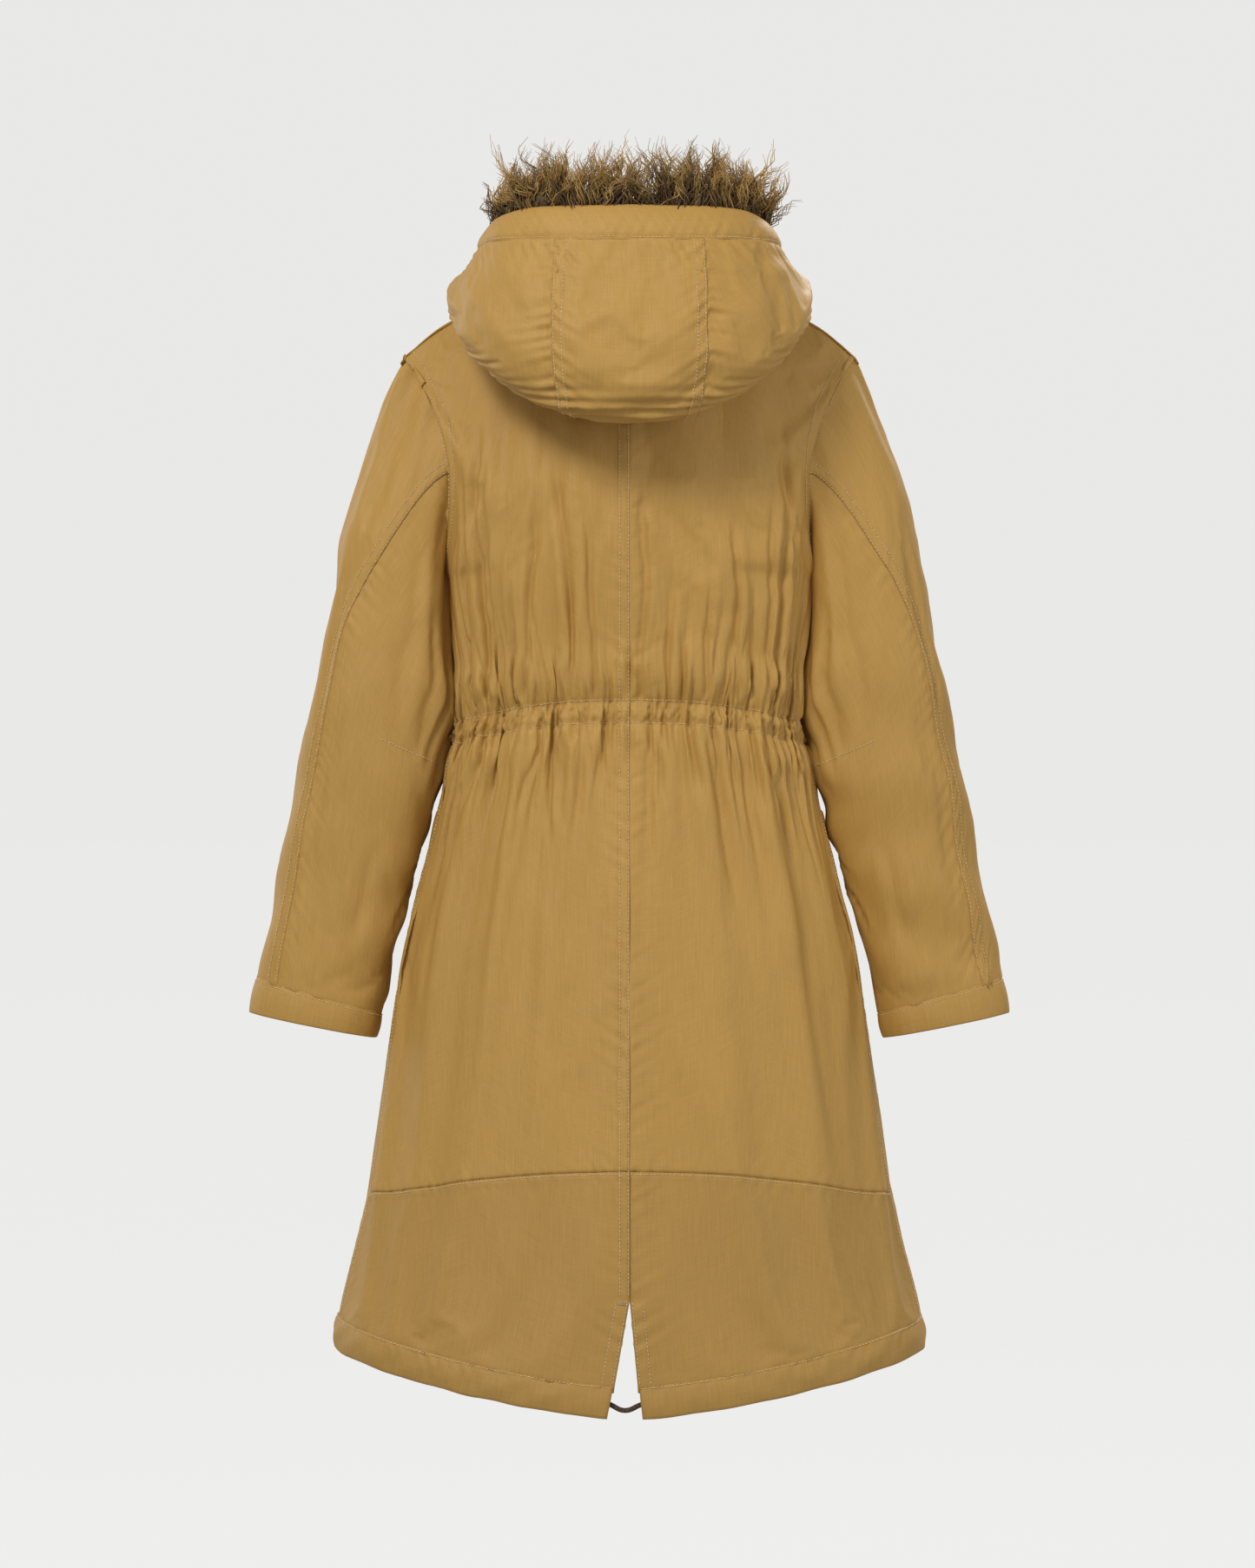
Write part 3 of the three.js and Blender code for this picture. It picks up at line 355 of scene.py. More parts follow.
class Patch:
    """A grid of cloth. Columns run along u and rows along v; face gives the plain shape."""

    def __init__(self, face, us, vs, outward, ends=None):
        self.us, self.vs, self.outward = us, vs, outward
        u, self.v = np.meshgrid(us, vs)
        self.u = u if ends is None else mix(ends[0](self.v), ends[1](self.v), u)
        self.points = face(self.u, self.v)
        self.plain = self.points.copy()
        self.arc_u = self.arcs(1)
        self.arc_v = self.arcs(0)

    def arcs(self, axis):
        steps = np.linalg.norm(np.diff(self.plain, axis=axis), axis=2)
        total = np.cumsum(steps, axis=axis)
        zero = np.zeros_like(total[:1] if axis == 0 else total[:, :1])
        return np.concatenate([zero, total], axis=axis)

    def normals(self):
        across = np.gradient(self.points, axis=1)
        down = np.gradient(self.points, axis=0)
        normal = np.cross(across, down) * self.outward
        size = np.linalg.norm(normal, axis=2, keepdims=True)
        return normal / np.maximum(size, 1e-12)

    def lift(self, height):
        self.points = self.points + self.normals() * np.asarray(height)[..., None]

    def at(self, row, column, lift=0.0):
        """Points and normals at fractional rows and columns."""
        rows, columns = self.points.shape[:2]
        row, column = np.clip(row, 0, rows - 1), np.clip(column, 0, columns - 1)
        i, j = np.minimum(row.astype(int), rows - 2), np.minimum(column.astype(int), columns - 2)
        a, b = (row - i)[:, None], (column - j)[:, None]

        def read(grid):
            upper = mix(grid[i, j], grid[i, j + 1], b)
            return mix(upper, mix(grid[i + 1, j], grid[i + 1, j + 1], b), a)

        normal = read(self.normals())
        normal /= np.linalg.norm(normal, axis=1, keepdims=True)
        return read(self.points) + normal * lift, normal

    def column_line(self, distance, start=0, stop=None, far=False):
        """Rows and columns of the line at a distance from the first column, or from the last."""
        rows = np.arange(self.points.shape[0])[start:stop]
        columns = np.arange(self.points.shape[1])
        found = []
        for r in rows:
            arc = self.arc_u[r]
            wanted = arc[-1] - distance if far else distance
            found.append(np.interp(wanted, arc, columns))
        return rows.astype(float), np.array(found)

    def row_line(self, row, distance, start=0, stop=None):
        """Rows and columns of the line at a distance down from a row."""
        columns = np.arange(self.points.shape[1])[start:stop]
        rows = np.arange(self.points.shape[0])
        found = []
        for c in columns:
            arc = self.arc_v[:, c]
            found.append(np.interp(arc[row] + distance, arc, rows))
        return np.array(found), columns.astype(float)

    def place(self, x, z):
        """Row and column of the surface behind (x, z), as seen from the back."""
        near = (self.points[..., 0] - x) ** 2 + (self.points[..., 2] - z) ** 2
        near = np.where(self.normals()[..., 1] > 0, near, 1e3)
        i, j = np.unravel_index(np.argmin(near), near.shape)
        i, j = min(max(i, 1), near.shape[0] - 2), min(max(j, 1), near.shape[1] - 2)
        down = (self.points[i + 1, j] - self.points[i - 1, j])[[0, 2]] / 2
        over = (self.points[i, j + 1] - self.points[i, j - 1])[[0, 2]] / 2
        miss = np.array([x, z]) - self.points[i, j][[0, 2]]
        step = np.linalg.lstsq(np.stack([down, over], axis=1), miss, rcond=None)[0]
        return i + float(np.clip(step[0], -1, 1)), j + float(np.clip(step[1], -1, 1))


def tucked(patch, *edges, reach=0.004, depth=0.0017):
    """The patch with its named edges carried on a little, under its neighbours.

    Its plain surface is carried on as far but stays unfolded, because the flat cut is measured on it."""
    normals = patch.normals()
    part = object.__new__(Patch)
    part.us, part.vs, part.outward = patch.us, patch.vs, patch.outward
    grids = {key: getattr(patch, key) for key in ("points", "plain", "arc_u", "arc_v", "u", "v")}
    for edge in edges:
        axis = 0 if edge in ("top", "bottom") else 1
        first = edge in ("top", "left")
        near, next_one = (0, 1) if first else (-1, -2)
        border = np.take(grids["points"], [near], axis)
        away = border - np.take(grids["points"], [next_one], axis)
        away /= np.maximum(np.linalg.norm(away, axis=2, keepdims=True), 1e-9)
        moved = border + away * reach - np.take(normals, [near], axis) * depth
        for key, grid in grids.items():
            line = np.take(grid, [near], axis)
            step = line - np.take(grid, [next_one], axis)
            if key == "plain":
                step *= reach / np.maximum(np.linalg.norm(step, axis=2, keepdims=True), 1e-9)
            new = moved if key == "points" else line + step
            grids[key] = np.concatenate([new, grid] if first else [grid, new], axis)
        line = np.take(normals, [near], axis)
        normals = np.concatenate([line, normals] if first else [normals, line], axis)
    for key, grid in grids.items():
        setattr(part, key, grid)
    return part


def spaced(marks, lengths, step):
    """Increasing values from mark to mark, about step apart for stretches of these lengths."""
    parts = [
        np.linspace(a, b, max(2, round(length / step)), endpoint=False)
        for a, b, length in zip(marks, marks[1:], lengths)
    ]
    return np.append(np.concatenate(parts), marks[-1])


# ---------------------------------------------------------------- materials
def new_material(name):
    material = bpy.data.materials.new(name)
    material.use_nodes = True
    tree = material.node_tree
    return material, tree, tree.nodes["Principled BSDF"]


def add(tree, kind, **settings):
    node = tree.nodes.new(kind)
    for key, value in settings.items():
        if key in node.inputs:
            node.inputs[key].default_value = value
        else:
            setattr(node, key, value)
    return node


def stretched_noise(tree, coordinates, scale, detail=2.0, roughness=0.5):
    """Noise with its own scale along each of the cloth's two directions."""
    mapping = add(tree, "ShaderNodeMapping")
    mapping.inputs["Scale"].default_value = scale
    tree.links.new(coordinates, mapping.inputs["Vector"])
    noise = add(tree, "ShaderNodeTexNoise", Scale=1.0, Detail=detail, Roughness=roughness)
    tree.links.new(mapping.outputs["Vector"], noise.inputs["Vector"])
    return noise.outputs["Fac"]


def combine(tree, operation, a, b):
    node = add(tree, "ShaderNodeMath", operation=operation)
    for socket, value in zip(node.inputs, (a, b)):
        if isinstance(value, (int, float)):
            socket.default_value = value
        else:
            tree.links.new(value, socket)
    return node.outputs[0]


def scaled(tree, value, factor):
    return combine(tree, "MULTIPLY", value, factor)


def two_tone(tree, factor, low, high, dark, light):
    """A colour ramp between two colours as factor goes from low to high."""
    ramp = add(tree, "ShaderNodeValToRGB")
    ramp.color_ramp.elements[0].position = low
    ramp.color_ramp.elements[0].color = (*dark, 1)
    ramp.color_ramp.elements[1].position = high
    ramp.color_ramp.elements[1].color = (*light, 1)
    tree.links.new(factor, ramp.inputs["Fac"])
    return ramp.outputs["Color"]


def shaded(colour, factor):
    return tuple(c * factor for c in colour)


def add_relief(tree, shader, height, strength, distance):
    """The surface's fine relief, as a bump."""
    relief = add(tree, "ShaderNodeBump", Strength=strength, Distance=distance)
    tree.links.new(height, relief.inputs["Height"])
    tree.links.new(relief.outputs["Normal"], shader.inputs["Normal"])


def add_gloss(tree, shader, factor, low, high):
    """A roughness that goes between two values with factor."""
    shine = add(tree, "ShaderNodeMapRange")
    shine.inputs["To Min"].default_value = low
    shine.inputs["To Max"].default_value = high
    tree.links.new(factor, shine.inputs["Value"])
    tree.links.new(shine.outputs["Result"], shader.inputs["Roughness"])


def cloth_material(name, colour, sheen=0.10, roughness=0.60, contrast=0.10, thread=0.00042):
    """Plain-weave cloth with slubs along both threads, soft sheen and slow colour drift."""
    material, tree, shader = new_material(name)
    cloth = add(tree, "ShaderNodeAttribute", attribute_name="cloth").outputs["Vector"]
    place = add(tree, "ShaderNodeTexCoord").outputs["Object"]
    warp = stretched_noise(tree, cloth, (900, 28, 1), 3)
    weft = stretched_noise(tree, cloth, (28, 900, 1), 3)
    slubs = combine(tree, "ADD", scaled(tree, warp, 0.62), scaled(tree, weft, 0.38))
    drift = stretched_noise(tree, place, (5, 5, 3), 2)
    tone = combine(tree, "ADD", scaled(tree, slubs, 0.72), scaled(tree, drift, 0.28))
    light, dark = shaded(colour, 1 + contrast), shaded(colour, 1 - contrast)
    tree.links.new(two_tone(tree, tone, 0.36, 0.64, dark, light), shader.inputs["Base Color"])
    mapping = add(tree, "ShaderNodeMapping")
    mapping.inputs["Scale"].default_value = (1 / thread, 1 / thread, 1)
    tree.links.new(cloth, mapping.inputs["Vector"])
    weave = add(tree, "ShaderNodeTexChecker", Scale=1.0)
    tree.links.new(mapping.outputs["Vector"], weave.inputs["Vector"])
    crinkle = stretched_noise(tree, cloth, (70, 38, 1), 5, 0.6)
    height = combine(tree, "ADD", scaled(tree, slubs, 0.00035), scaled(tree, crinkle, 0.0016))
    height = combine(tree, "ADD", height, scaled(tree, weave.outputs["Fac"], 0.00002))
    add_relief(tree, shader, height, 0.55, 1.0)
    add_gloss(tree, shader, slubs, roughness - 0.06, roughness + 0.08)
    shader.inputs["Sheen Weight"].default_value = sheen
    shader.inputs["Sheen Roughness"].default_value = 0.45
    shader.inputs["Sheen Tint"].default_value = (*[min(1.0, c * 1.8 + 0.1) for c in colour], 1)
    shader.inputs["IOR"].default_value = 1.42
    return material


def thread_material(name, colour):
    """Twisted sewing thread."""
    material, tree, shader = new_material(name)
    place = add(tree, "ShaderNodeTexCoord").outputs["Object"]
    grain = stretched_noise(tree, place, (900, 900, 900), 2)
    yarn = two_tone(tree, grain, 0.3, 0.7, shaded(colour, 0.82), shaded(colour, 1.1))
    tree.links.new(yarn, shader.inputs["Base Color"])
    add_relief(tree, shader, grain, 0.4, 0.0003)
    shader.inputs["Roughness"].default_value = 0.6
    shader.inputs["Sheen Weight"].default_value = 0.3
    return material


def braid_material(name, colour, pitch):
    """Braided or woven tape and cord: slanting yarns that cross."""
    material, tree, shader = new_material(name)
    place = add(tree, "ShaderNodeTexCoord").outputs["Object"]
    yarns = []
    for angle in (0.7, -0.7):
        mapping = add(tree, "ShaderNodeMapping")
        mapping.inputs["Rotation"].default_value = (angle, angle, 0)
        tree.links.new(place, mapping.inputs["Vector"])
        wave = add(tree, "ShaderNodeTexWave", Scale=1 / pitch / 6.28, Distortion=0.6)
        tree.links.new(mapping.outputs["Vector"], wave.inputs["Vector"])
        yarns.append(wave.outputs["Fac"])
    cross = combine(tree, "MULTIPLY", yarns[0], yarns[1])
    woven = two_tone(tree, cross, 0.05, 0.7, shaded(colour, 0.55), shaded(colour, 1.25))
    tree.links.new(woven, shader.inputs["Base Color"])
    add_relief(tree, shader, cross, 0.7, 0.0005)
    shader.inputs["Roughness"].default_value = 0.75
    shader.inputs["Sheen Weight"].default_value = 0.25
    return material


def metal_material(name, colour):
    """Antiqued brass: darker in patches, with fine scratches in its gloss."""
    material, tree, shader = new_material(name)
    place = add(tree, "ShaderNodeTexCoord").outputs["Object"]
    patches = stretched_noise(tree, place, (180, 180, 180), 4)
    tarnished = two_tone(tree, patches, 0.35, 0.7, shaded(colour, 0.55), colour)
    tree.links.new(tarnished, shader.inputs["Base Color"])
    scratches = stretched_noise(tree, place, (2500, 300, 2500), 3)
    add_gloss(tree, shader, scratches, 0.28, 0.5)
    add_relief(tree, shader, patches, 0.25, 0.0002)
    shader.inputs["Metallic"].default_value = 1.0
    return material


def fur_material(name, root, tip):
    """Curly wool: dark roots, painted shade deep in the fur, and light tips, by each strand's own length."""
    material, tree, shader = new_material(name)
    strand = add(tree, "ShaderNodeAttribute", attribute_name="strand")
    split = add(tree, "ShaderNodeSeparateXYZ")
    tree.links.new(strand.outputs["Vector"], split.inputs[0])
    share = combine(tree, "ADD", split.outputs[0], scaled(tree, split.outputs[1], 0.45))
    # The ramp darkens each strand towards its root: painted shade deep in the fur.
    tree.links.new(two_tone(tree, share, 0.1, 1.15, root, tip), shader.inputs["Base Color"])
    shader.inputs["Roughness"].default_value = 0.62
    return material


SHELL = (0.470, 0.268, 0.062)
shell_cloth = cloth_material("shell_poplin", SHELL)
# The hem panels' cloth is the shell's colour darkened to 0.92: painted shade on the lower panels.
hem_cloth_painted_shade = cloth_material("hem_poplin_painted_shade", shaded(SHELL, 0.92))
lining_cloth = cloth_material(
    "lining_satin", (0.105, 0.075, 0.035), sheen=0.1, roughness=0.38, thread=0.00025,
)
thread = thread_material("tan_thread", (0.70, 0.50, 0.24))
cord_braid = braid_material("cord_braid", (0.085, 0.045, 0.018), 0.0016)
tape_weave = braid_material("tape_weave", (0.062, 0.050, 0.030), 0.0011)
elastic_weave = braid_material("elastic_weave", (0.62, 0.58, 0.48), 0.0014)
brass = metal_material("antique_brass", (0.42, 0.33, 0.17))
# The dark root colour is painted shade deep in the fur.
fur_wool_painted_root_shade = fur_material("curly_wool_painted_root_shade", (0.080, 0.042, 0.009), (0.50, 0.30, 0.085))


# ---------------------------------------------------------------- pieces
def make_mesh(name, vertices, faces, material, attribute=None, values=None, flat=False):
    mesh = bpy.data.meshes.new(name)
    mesh.from_pydata(np.asarray(vertices).reshape(-1, 3).tolist(), [], np.asarray(faces).tolist())
    mesh.materials.append(material)
    if attribute:
        layer = mesh.attributes.new(attribute, "FLOAT_VECTOR", "POINT")
        layer.data.foreach_set("vector", np.asarray(values, np.float32).ravel())
    if not flat:
        mesh.polygons.foreach_set("use_smooth", np.ones(len(mesh.polygons), bool))
    mesh.update()
    piece = bpy.data.objects.new(name, mesh)
    bpy.context.scene.collection.objects.link(piece)
    return piece


def grid_faces(rows, columns, flip, loop=False):
    i, j = np.meshgrid(np.arange(rows - 1), np.arange(columns if loop else columns - 1), indexing="ij")
    across = (j + 1) % columns
    here, below = i * columns, (i + 1) * columns
    quads = np.stack([here + j, here + across, below + across, below + j], -1).reshape(-1, 4)
    return quads[:, ::-1] if flip else quads


def along_blend(bodies, direction, begin, finish):
    direction = np.array(direction) / np.linalg.norm(direction)
    return dict(bodies=bodies, start=tuple(direction * begin), end=tuple(direction * finish))


SLEEVE = {
    name: along_blend(("coat", f"sleeve_{name}"), (0.96 * side, 0, -0.28), 0.240, 0.350)
    for name, side in SIDES
}
HOOD_UNDER = {
    name: along_blend(("coat", "hood"), (0.60 * side, 0.45, -0.66), 0.050, 0.125)
    for name, side in SIDES
}


def settle(piece, body=None, blend=None):
    """The piece rides on one body; with a blend, its transform is only baked into its mesh."""
    if blend:
        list(blend["bodies"])
        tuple(blend["start"])
        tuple(blend["end"])
        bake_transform(piece)
    else:
        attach(piece, body)


def cloth_piece(name, patch, material, slot, nodes=(), body="coat", blend=None, thickness=CLOTH, held=None):
    """A closed sheet of cloth whose outer face is the patch."""
    rows, columns = patch.points.shape[:2]
    inner = patch.points - patch.normals() * thickness
    vertices = np.concatenate([patch.points.reshape(-1, 3), inner.reshape(-1, 3)])
    outer_faces = grid_faces(rows, columns, patch.outward < 0)
    inner_faces = outer_faces[:, ::-1] + rows * columns
    border = np.concatenate([
        np.arange(columns), np.arange(2, rows + 1) * columns - 1,
        np.arange(rows * columns - 2, (rows - 1) * columns - 1, -1), np.arange(rows - 2, 0, -1) * columns,
    ])
    after = np.roll(border, -1)
    edge = np.stack([after, border, border + rows * columns, after + rows * columns], -1)
    edge = edge[:, ::-1] if patch.outward < 0 else edge
    coordinates = np.stack([patch.arc_u, patch.arc_v, np.zeros_like(patch.arc_u)], -1).reshape(-1, 3)
    faces = np.concatenate([outer_faces, inner_faces, edge])
    piece = make_mesh(name, vertices, faces, material, "cloth", np.concatenate([coordinates, coordinates]))
    settle(piece, body, blend)
    if nodes:
        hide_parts(*nodes)
    if held:
        declare_sheet(patch, held)
    return piece


def declare_sheet(patch, held):
    """The flat cut: the patch before it is folded, and wider by its fullness where it is gathered."""
    plain = patch.plain
    fuller = 1 + body_fullness(patch.v) if held == "gathered" else np.ones(patch.v.shape)
    across, down = plain[1:, 1:] - plain[:-1, :-1], plain[1:, :-1] - plain[:-1, 1:]
    cells = np.linalg.norm(np.cross(across, down), axis=2) / 2
    width = float((np.ptp(patch.arc_u, axis=1) * fuller[:, 0]).max())
    float(np.ptp(patch.arc_v))


class Stitching:
    """Lines of stitches that become one piece of thread."""

    def __init__(self, name, body="coat", blend=None, pitch=0.0036, radius=0.00040):
        self.name, self.body, self.blend, self.pitch, self.radius = name, body, blend, pitch, radius
        self.vertices, self.faces, self.count = [], [], 0

    def line(self, patch, rows, columns):
        points, normals = patch.at(np.asarray(rows, float), np.asarray(columns, float))
        arc = np.concatenate([[0], np.cumsum(np.linalg.norm(np.diff(points, axis=0), axis=1))])
        starts = np.arange(0.001, arc[-1] - self.pitch, self.pitch)

        def read(grid, place):
            return np.stack([np.interp(place, arc, grid[:, k]) for k in range(3)], -1)

        begin, finish = read(points, starts), read(points, starts + self.pitch * 0.74)
        normal = read(normals, starts + self.pitch * 0.37)
        along = finish - begin
        side = np.cross(along, normal)
        side /= np.linalg.norm(side, axis=1, keepdims=True)
        rings = []
        for share, width, rise in ((0, 0.35, -0.5), (0.2, 1, 0.5), (0.8, 1, 0.5), (1, 0.35, -0.5)):
            centre = begin + along * share + normal * self.radius * (rise + 0.6)
            for a, b in ((1, 0), (0, 1), (-1, 0), (0, -1)):
                rings.append(centre + (side * a + normal * b) * self.radius * width)
        block = np.stack(rings, 1)
        sides = [(k, (k + 1) % 4) for k in range(4)]
        quads = [(4 * r + a, 4 * r + b, 4 * r + 4 + b, 4 * r + 4 + a) for r in range(3) for a, b in sides]
        quads = np.array(quads + [(3, 2, 1, 0), (12, 13, 14, 15)])
        offsets = self.count + 16 * np.arange(len(block))
        self.faces.append((quads[None] + offsets[:, None, None]).reshape(-1, 4))
        self.vertices.append(block.reshape(-1, 3))
        self.count += 16 * len(block)

    def finish(self, slot="shell"):
        piece = make_mesh(self.name, np.concatenate(self.vertices), np.concatenate(self.faces), thread)
        settle(piece, self.body, self.blend)
        return piece


# ---------------------------------------------------------------- cloth simulation
def simulate(points, rest, pins, frames=24, tension=18, bending=0.6, reach=0.010):
    """A grid of cloth, cut to the larger rest shape, buckles between its pinned vertices."""
    rows, columns = points.shape[:2]
    mesh = bpy.data.meshes.new("trial")
    mesh.from_pydata(points.reshape(-1, 3).tolist(), [], grid_faces(rows, columns, False).tolist())
    trial = bpy.data.objects.new("trial", mesh)
    bpy.context.scene.collection.objects.link(trial)
    trial.shape_key_add(name="worn")
    cut = trial.shape_key_add(name="cut")
    cut.data.foreach_set("co", rest.astype(np.float32).ravel())
    cut.value = 0
    group = trial.vertex_groups.new(name="pins")
    flat = pins.ravel()
    for weight in np.unique(flat[flat > 0]):
        group.add(np.flatnonzero(flat == weight).tolist(), float(weight), "REPLACE")
    modifier = trial.modifiers.new("cloth", "CLOTH")
    settings = modifier.settings
    settings.quality = 5
    settings.mass = 0.12
    settings.tension_stiffness = settings.compression_stiffness = tension
    settings.shear_stiffness = tension * 0.5
    settings.bending_stiffness = bending
    settings.tension_damping = settings.compression_damping = settings.shear_damping = 12
    settings.air_damping = 4
    settings.vertex_group_mass = "pins"
    settings.pin_stiffness = 4
    settings.rest_shape_key = cut
    settings.effector_weights.gravity = 0.15
    modifier.collision_settings.use_collision = False
    modifier.collision_settings.use_self_collision = False
    modifier.point_cache.frame_end = frames
    scene = bpy.context.scene
    for step in range(1, frames + 1):
        scene.frame_set(step)
    evaluated = trial.evaluated_get(bpy.context.evaluated_depsgraph_get())
    result = np.zeros(rows * columns * 3, np.float32)
    evaluated.data.vertices.foreach_get("co", result)
    scene.frame_set(1)
    bpy.data.objects.remove(trial)
    moved = result.reshape(points.shape).astype(float) - points
    size = np.linalg.norm(moved, axis=2, keepdims=True)
    return moved * (reach * np.tanh(size / reach) / np.maximum(size, 1e-9))


# ---------------------------------------------------------------- camera and cord
def add_camera():
    camera = bpy.data.objects.new("camera", bpy.data.cameras.new("camera"))
    camera.data.lens = CAMERA_LENS
    camera.data.sensor_width = SENSOR_WIDTH
    camera.location = CAMERA_PLACE
    camera.rotation_euler = (TURN, 0, math.pi)
    bpy.context.scene.collection.objects.link(camera)
    bpy.context.scene.camera = camera


def hem_point(angle, height, depth, side):
    """A place in the hem band: height above the hem and depth inside its outer face."""
    z = hem_z(angle) + height
    ahead, behind = body_point(angle + 0.01, z), body_point(angle - 0.01, z)
    normal = xyz(behind[..., 1] - ahead[..., 1], ahead[..., 0] - behind[..., 0], 0)
    normal /= np.linalg.norm(normal, axis=-1, keepdims=True)
    point = body_point(angle, z) - normal * np.asarray(depth)[..., None]
    point[..., 0] *= side
    return point


def hem_angles(side, count):
    vent = VENT_LEFT if side > 0 else VENT_RIGHT
    start = math.asin((vent / float(half_width(np.array(HEM_BACK_Z)))) ** (1 / ROUNDNESS))
    stop = math.pi - math.asin((ZIP_EDGE * 1.1 / float(half_width(np.array(-0.930)))) ** (1 / ROUNDNESS))
    return np.linspace(start + 0.004, stop, count + 1)


def add_hem_cord():
    """The cord runs round the hem inside its band and crosses the vent in the open."""
    height, depth, sag, radius = 0.013, 0.006, 0.006, 0.0024
    runs = [hem_point(hem_angles(side, 18)[:-1], height, depth, side) for _, side in SIDES]
    crossing = (runs[0][0] + runs[1][0]) / 2 - np.array([0, 0, sag])
    route = np.vstack([runs[0][::-1], crossing, runs[1]])
    curve = bpy.data.curves.new("hem_drawcord", "CURVE")
    curve.dimensions = "3D"
    curve.bevel_depth = radius
    curve.bevel_resolution = 3
    curve.resolution_u = 8
    curve.use_fill_caps = True
    spline = curve.splines.new("BEZIER")
    spline.bezier_points.add(len(route) - 1)
    for point, place in zip(spline.bezier_points, route):
        point.co = place
        point.handle_left_type = point.handle_right_type = "AUTO"
    curve.materials.append(cord_braid)
    cord = bpy.data.objects.new("hem_drawcord", curve)
    bpy.context.scene.collection.objects.link(cord)
    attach(cord, "coat")
    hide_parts("hem_cord")


# ---------------------------------------------------------------- the body's shell
BODY_MARKS, BODY_LENGTHS = [0, 1, 2, 3, 4], [0.20, 0.21, 0.42, 0.195]
SKIRT_GATHER, BLOUSE_GATHER = 0.13, 0.12
# How far the cloth may sink below its plain surface, over the elastic and elsewhere.
ELASTIC_CLEARANCE, SHELL_CLEARANCE = -0.0022, -0.0120


def body_folds(patch, seed):
    """Long vertical folds: sharp beside the armholes, gathered at the waist and fading down the skirt."""
    across, level = patch.u, patch.v
    near_waist = np.exp(-np.abs(level - 2) / 0.45)
    broad = waves(across * 0.19 + 0.006 * np.sin(level * 2 + seed), seed, 0.035, 0.075)
    fine = waves(across * 0.19 + 0.002 * np.sin(level * 5 + seed), seed + 1, 0.016, 0.030)
    top = smooth((level - 0.35) / 0.6) * smooth((2.1 - level) / 0.2)
    skirt = smooth((level - 1.9) / 0.2) * smooth((3.9 - level) / 1.6)
    edge = 1 + 1.2 * smooth((across - 0.45) / 0.4)
    height = top * (0.0022 * broad * edge + 0.0016 * fine * near_waist * 1.6)
    height += skirt * (0.0030 * broad * (0.4 + near_waist) + 0.0022 * fine * near_waist)
    border = smooth(across / 0.06) * smooth((1 - across) / 0.06)
    return height * border


def crease(distance, width, depth):
    """A pinched fold: a narrow valley with a rounded shoulder on each side, one higher than the other."""
    valley = np.exp(-((distance / width) ** 2))
    near = np.exp(-(((distance - 1.9 * width) / (1.7 * width)) ** 2))
    far = np.exp(-(((distance + 1.9 * width) / (1.9 * width)) ** 2))
    return depth * (0.50 * near + 0.28 * far - valley)


def pleats(patch, waist_row, seed, back):
    """Folds that start at the waist: many short ones, and a few that run far up or down."""
    rng = np.random.default_rng(seed)
    down = patch.arc_v - patch.arc_v[waist_row]
    width_here = patch.arc_u[:, -1:]
    total = np.zeros(patch.u.shape)
    families = (  # direction, count, across range, length range, depth range, width range
        (-1, 24, (0.05, 0.99), (0.015, 0.075), (0.0014, 0.0034), (0.0014, 0.0022)),
        (-1, 12, (0.08, 0.97), (0.08, 0.20), (0.0024, 0.0046), (0.0016, 0.0026)),
        (-1, 4, (0.72, 0.97), (0.20, 0.34), (0.0024, 0.0042), (0.0018, 0.0030)),
        (1, 28, (0.05, 0.99), (0.015, 0.07), (0.0014, 0.0034), (0.0014, 0.0022)),
        (1, 14, (0.05, 0.97), (0.08, 0.20), (0.0024, 0.0044), (0.0020, 0.0034)),
        (1, 9, (0.10, 0.98), (0.20, 0.48), (0.0026, 0.0044), (0.0040, 0.0080)),
    )
    for way, count, (u_low, u_high), lengths, depths, widths in families:
        slots = np.linspace(u_low, u_high, count + 1)
        for k in range(count):
            place = rng.uniform(slots[k], slots[k + 1])
            length, depth, width = (rng.uniform(*pair) for pair in (lengths, depths, widths))
            lean, curl, phase = rng.normal(0, 0.16), rng.uniform(0, 0.0025), rng.uniform(0, 6.28)
            run = down * way
            centre = place + lean * np.clip(run, 0, length) * (0.3 if length > 0.2 else 1)
            wander = curl * np.sin(run * 28 + phase) * smooth(run / 0.05)
            fade = smooth((run + 0.003) / 0.006) * (1 - smooth((run - 0.30 * length) / (0.70 * length)))
            strength = fade * (0.8 + 0.2 * np.sin(run * 55 + phase))
            spread = width * (1 + 1.6 * smooth(run / 0.25))
            mirror = 1 if rng.uniform() < 0.5 else -1
            distance = (patch.u - centre) * width_here - wander
            total += crease(distance * mirror, spread, depth) * strength
    keep = smooth((patch.arc_u - (0.012 if back else 0.02)) / 0.006)
    keep = keep * smooth((width_here - patch.arc_u) / 0.005)
    return total * keep


